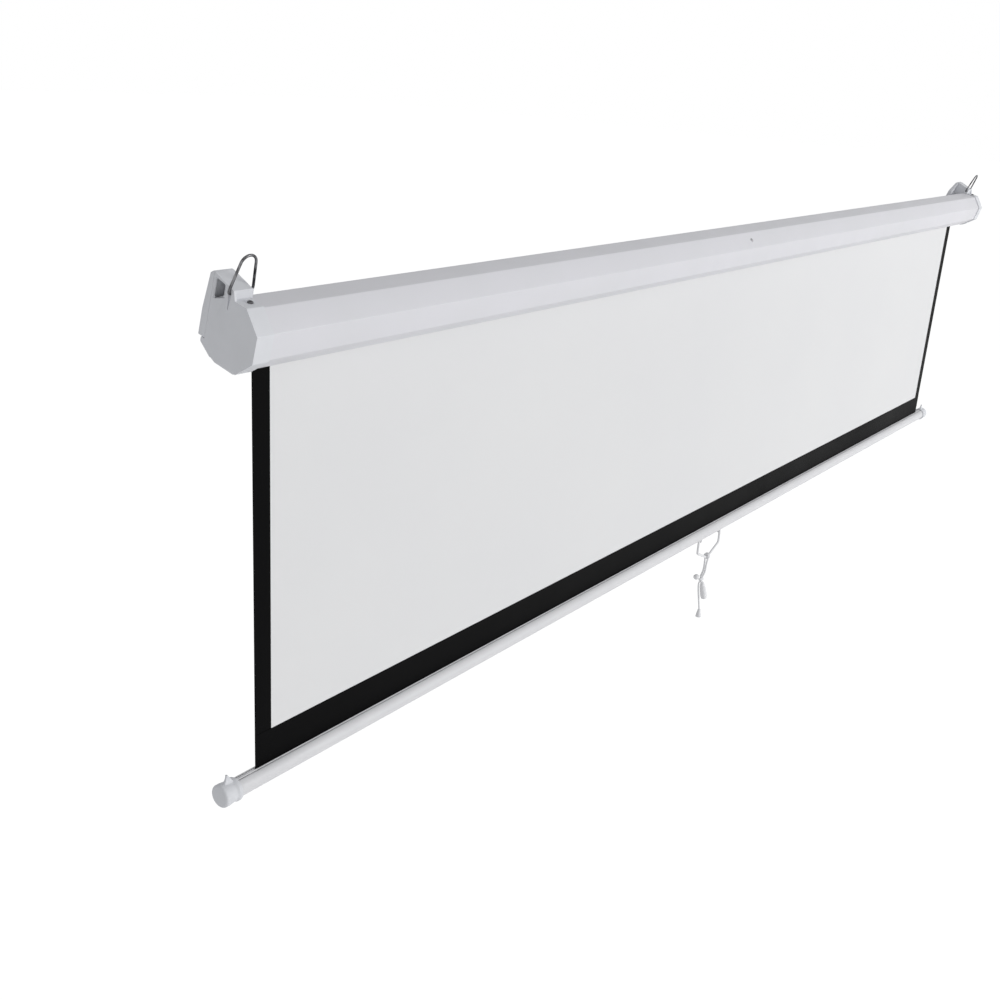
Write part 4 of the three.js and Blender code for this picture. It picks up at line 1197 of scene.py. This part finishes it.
def handle_eye(name):
    """A block under the bar with a bore that one foot of the handle turns in."""
    pivot = HANDLE_PIVOT.z - BAR_MIDDLE.z
    low, high, deep = -BAR_RADIUS - EYE_BELOW, -BAR_RADIUS / 2, EYE_DEEP / 2
    left, right = EYE_FROM_MIDDLE - EYE_WIDE / 2, EYE_FROM_MIDDLE + EYE_WIDE / 2
    eye = prism(name, rounded([
        (-deep, low, EYE_CORNER), (deep, low, EYE_CORNER), (deep, high, 0), (-deep, high, 0),
    ]), left, right, fitting_plastic)
    saddle = circle(BAR_RADIUS + EYE_ROOM, 96)
    bore = circle(HANDLE_ROD + SEAT, 32, (0, pivot))
    cutters = [
        block(shape, left - OVERRUN, right + OVERRUN, fitting_plastic) for shape in (saddle, bore)
    ]
    combine(eye, cutters, "DIFFERENCE")
    soften(eye, EYE_EDGE)
    eye.data.transform(BAR)
    return eye


def pull_handle():
    """A rod bent to a hanging grip, with a foot turned in to each eye."""
    half = [
        (HANDLE_HALF_WIDE - HANDLE_FOOT, 0, 0), (HANDLE_HALF_WIDE, 0, HANDLE_FOOT_BEND),
        (HANDLE_HALF_WIDE, -HANDLE_LEG, HANDLE_BEND), (HANDLE_GRIP, -HANDLE_DEEP, HANDLE_GRIP_BEND),
    ]
    place = Matrix.Translation(HANDLE_PIVOT)
    return bent_rod("pull_handle_form", half, HANDLE_ROD, fitting_plastic, place, 18)


def make_bar():
    dress(bar_tube(), "bar", "bar_paint", "weight_bar")
    dress(hem_strip(), "bar", "fitting_plastic", "hem_strip")
    dress_pair(bar_cap, "bar_cap", "bar", "fitting_plastic")
    dress_pair(handle_eye, "handle_eye", "bar", "fitting_plastic")
    dress(pull_handle(), "handle", "fitting_plastic", "pull_handle")


# Pull cord

def braid(angle, along):
    """The radius of a braided cord: two sets of strands crossing round it."""
    turn = along / BRAID_PITCH * 2 * math.pi / BRAID_STRANDS
    crossing = math.cos(BRAID_STRANDS * (angle + turn)) * math.cos(BRAID_STRANDS * (angle - turn))
    return CORD_RADIUS * (1 - BRAID_DEPTH_SHARE + BRAID_DEPTH_SHARE * crossing)


def cord_run(name, route):
    """A length of cord along a route, with its centreline and its length."""
    line = smooth_line(in_cord_frame(route), CORD_STEP)
    made = tube(name, line, braid, cord_fibre, sides=24, domed=False)
    length = sum((b - a).length for a, b in zip(line, line[1:]))
    return made, line, length


def cord_knot():
    """An overhand knot, drawn tight."""
    scale = (KNOT_RADIUS - KNOT_STRAND) / 3
    points = []
    for k in range(KNOT_STEPS + 1):
        t = 2 * math.pi * k / KNOT_STEPS
        points.append(Vector((
            (math.sin(t) + 2 * math.sin(2 * t)) * scale,
            -math.sin(3 * t) * scale * KNOT_DEPTH_SHARE,
            (math.cos(t) - 2 * math.cos(2 * t)) * scale,
        )))
    place = Matrix.Translation(in_cord_frame([KNOT_AT])[0])
    return tube("cord_knot_form", points, KNOT_STRAND, cord_fibre, place, domed=False)


def turned_to(at, away):
    """A place for a turned piece, its axis running from one point through another."""
    return Matrix.Translation(at) @ (at - away).to_track_quat("Z", "Y").to_matrix().to_4x4()


def cord_bead():
    """A round bead with a hole through it."""
    start = math.asin(BEAD_HOLE / BEAD_RADIUS)
    profile = []
    for k in range(BEAD_STEPS + 1):
        a = start + (math.pi - 2 * start) * k / BEAD_STEPS
        profile.append((BEAD_RADIUS * math.sin(a), -BEAD_RADIUS * math.cos(a)))
    place = turned_to(*in_cord_frame([BEAD_AT, KNOT_AT]))
    return lathe("cord_bead_form", profile, fitting_plastic, place, segments=48)


def hollow_bell(name, place, radius, long, neck, neck_corner, wall, hollow, shape):
    """A turned knob that hangs from its neck and is hollow at its foot."""
    corners = [(0, 0), (neck, 0, neck_corner)]
    corners += [(radius * out, -long * down, corner) for out, down, corner in shape]
    outside = [tuple(p) for p in rounded(corners, closed=False)]
    foot = outside[-1][0]
    lean = (foot - wall * BELL_LEAN, hollow * BELL_SIDE - long)
    inside = [(foot - wall, -long), lean, (0, hollow - long)]
    return lathe(name, outside + inside, fitting_plastic, place, segments=48, smooth=40)


def make_cord():
    run, line, length = cord_run("pull_cord_form", LOOP_ROUTE)
    tail, tail_line, tail_length = cord_run("pull_cord_tail_form", TAIL_ROUTE)
    knot, bead = cord_knot(), cord_bead()
    hung = turned_to(*in_cord_frame([TOGGLE_TOP, TOGGLE_FOOT]))
    toggle = hollow_bell("cord_toggle_form", hung, **TOGGLE)
    under_tail = Matrix.Translation(tail_line[-1] - Vector((0, 0, SEAT)))
    knob = hollow_bell("tail_knob_form", under_tail, **KNOB)
    dress(run, "cord", "cord_fibre", "pull_cord", "pull_cord_return")
    dress(tail, "cord", "cord_fibre", "pull_cord_tail")
    dress(knot, "cord", "cord_fibre", "cord_knot")
    for fitting, carried in ((bead, "cord_bead"), (toggle, "cord_toggle"), (knob, "tail_knob")):
        dress(fitting, "cord", "fitting_plastic", carried)


# Stage, lights and camera

def seen_white(tree, share):
    """The share, for rays that the background shows white to, and nothing for the rest."""
    path = node(tree, "ShaderNodeLightPath")
    rays = [path.outputs[f"Is {kind} Ray"] for kind in ("Camera", "Glossy", "Transmission")]
    seen = math_value(tree, "MAXIMUM", math_value(tree, "MAXIMUM", rays[0], rays[1]), rays[2])
    return math_value(tree, "MULTIPLY", seen, share)


def split_for_camera(tree, share, plain, seen, output):
    """Sends one shader to most rays and blends another in where the background shows white."""
    mix = node(tree, "ShaderNodeMixShader")
    out = node(tree, output)
    tree.links.new(seen_white(tree, share), mix.inputs["Fac"])
    tree.links.new(plain.outputs[0], mix.inputs[1])
    tree.links.new(seen.outputs[0], mix.inputs[2])
    tree.links.new(mix.outputs["Shader"], out.inputs["Surface"])


def make_floor():
    material = bpy.data.materials.new("pale_floor")
    material.use_nodes = True
    tree = material.node_tree
    tree.nodes.clear()
    lit = node(tree, "ShaderNodeBsdfDiffuse", Color=FLOOR_COLOR)
    glow = node(tree, "ShaderNodeEmission", Color=WHITE, Strength=FLOOR_WHITE)
    split_for_camera(tree, FLOOR_SHARE, lit, glow, "ShaderNodeOutputMaterial")
    corners = rectangle(-FLOOR_HALF, FLOOR_HALF, -FLOOR_HALF, FLOOR_HALF)
    verts = [(x, y, FLOOR_Z) for x, y in corners]
    placed("floor", mesh_of("floor", verts, [(0, 1, 2, 3)], material))


def make_world():
    world = bpy.data.worlds.new("studio")
    bpy.context.scene.world = world
    world.use_nodes = True
    tree = world.node_tree
    tree.nodes.clear()
    soft = node(tree, "ShaderNodeBackground", Color=WORLD_COLOR, Strength=WORLD_STRENGTH)
    white = node(tree, "ShaderNodeBackground", Color=WHITE, Strength=1.0)
    split_for_camera(tree, 1.0, soft, white, "ShaderNodeOutputWorld")


def area_light(name, at, aim, size, power):
    light = bpy.data.lights.new(name, "AREA")
    light.shape = "DISK"
    light.size = size
    light.energy = power
    made = placed(name, light)
    made.location = at
    made.rotation_mode = "QUATERNION"
    made.rotation_quaternion = (Vector(aim) - Vector(at)).to_track_quat("-Z", "Y")


def make_camera():
    data = bpy.data.cameras.new("camera")
    data.lens = CAMERA_LENS
    data.sensor_width = CAMERA_SENSOR
    data.clip_start, data.clip_end = CAMERA_CLIP
    camera = placed("camera", data)
    camera.matrix_world = (
        Matrix.Translation(CAMERA_AT)
        @ Matrix.Rotation(-CAMERA_YAW, 4, "Z")
        @ Matrix.Rotation(math.pi / 2 - CAMERA_PITCH, 4, "X")
        @ Matrix.Rotation(-CAMERA_ROLL, 4, "Z")
    )
    bpy.context.scene.camera = camera


make_camera()
make_cord()
make_case()
make_roller()
make_sheet()
make_bar()
make_floor()
make_world()
for light in LIGHTS:
    area_light(*light)
bpy.context.scene.view_settings.view_transform = "Standard"
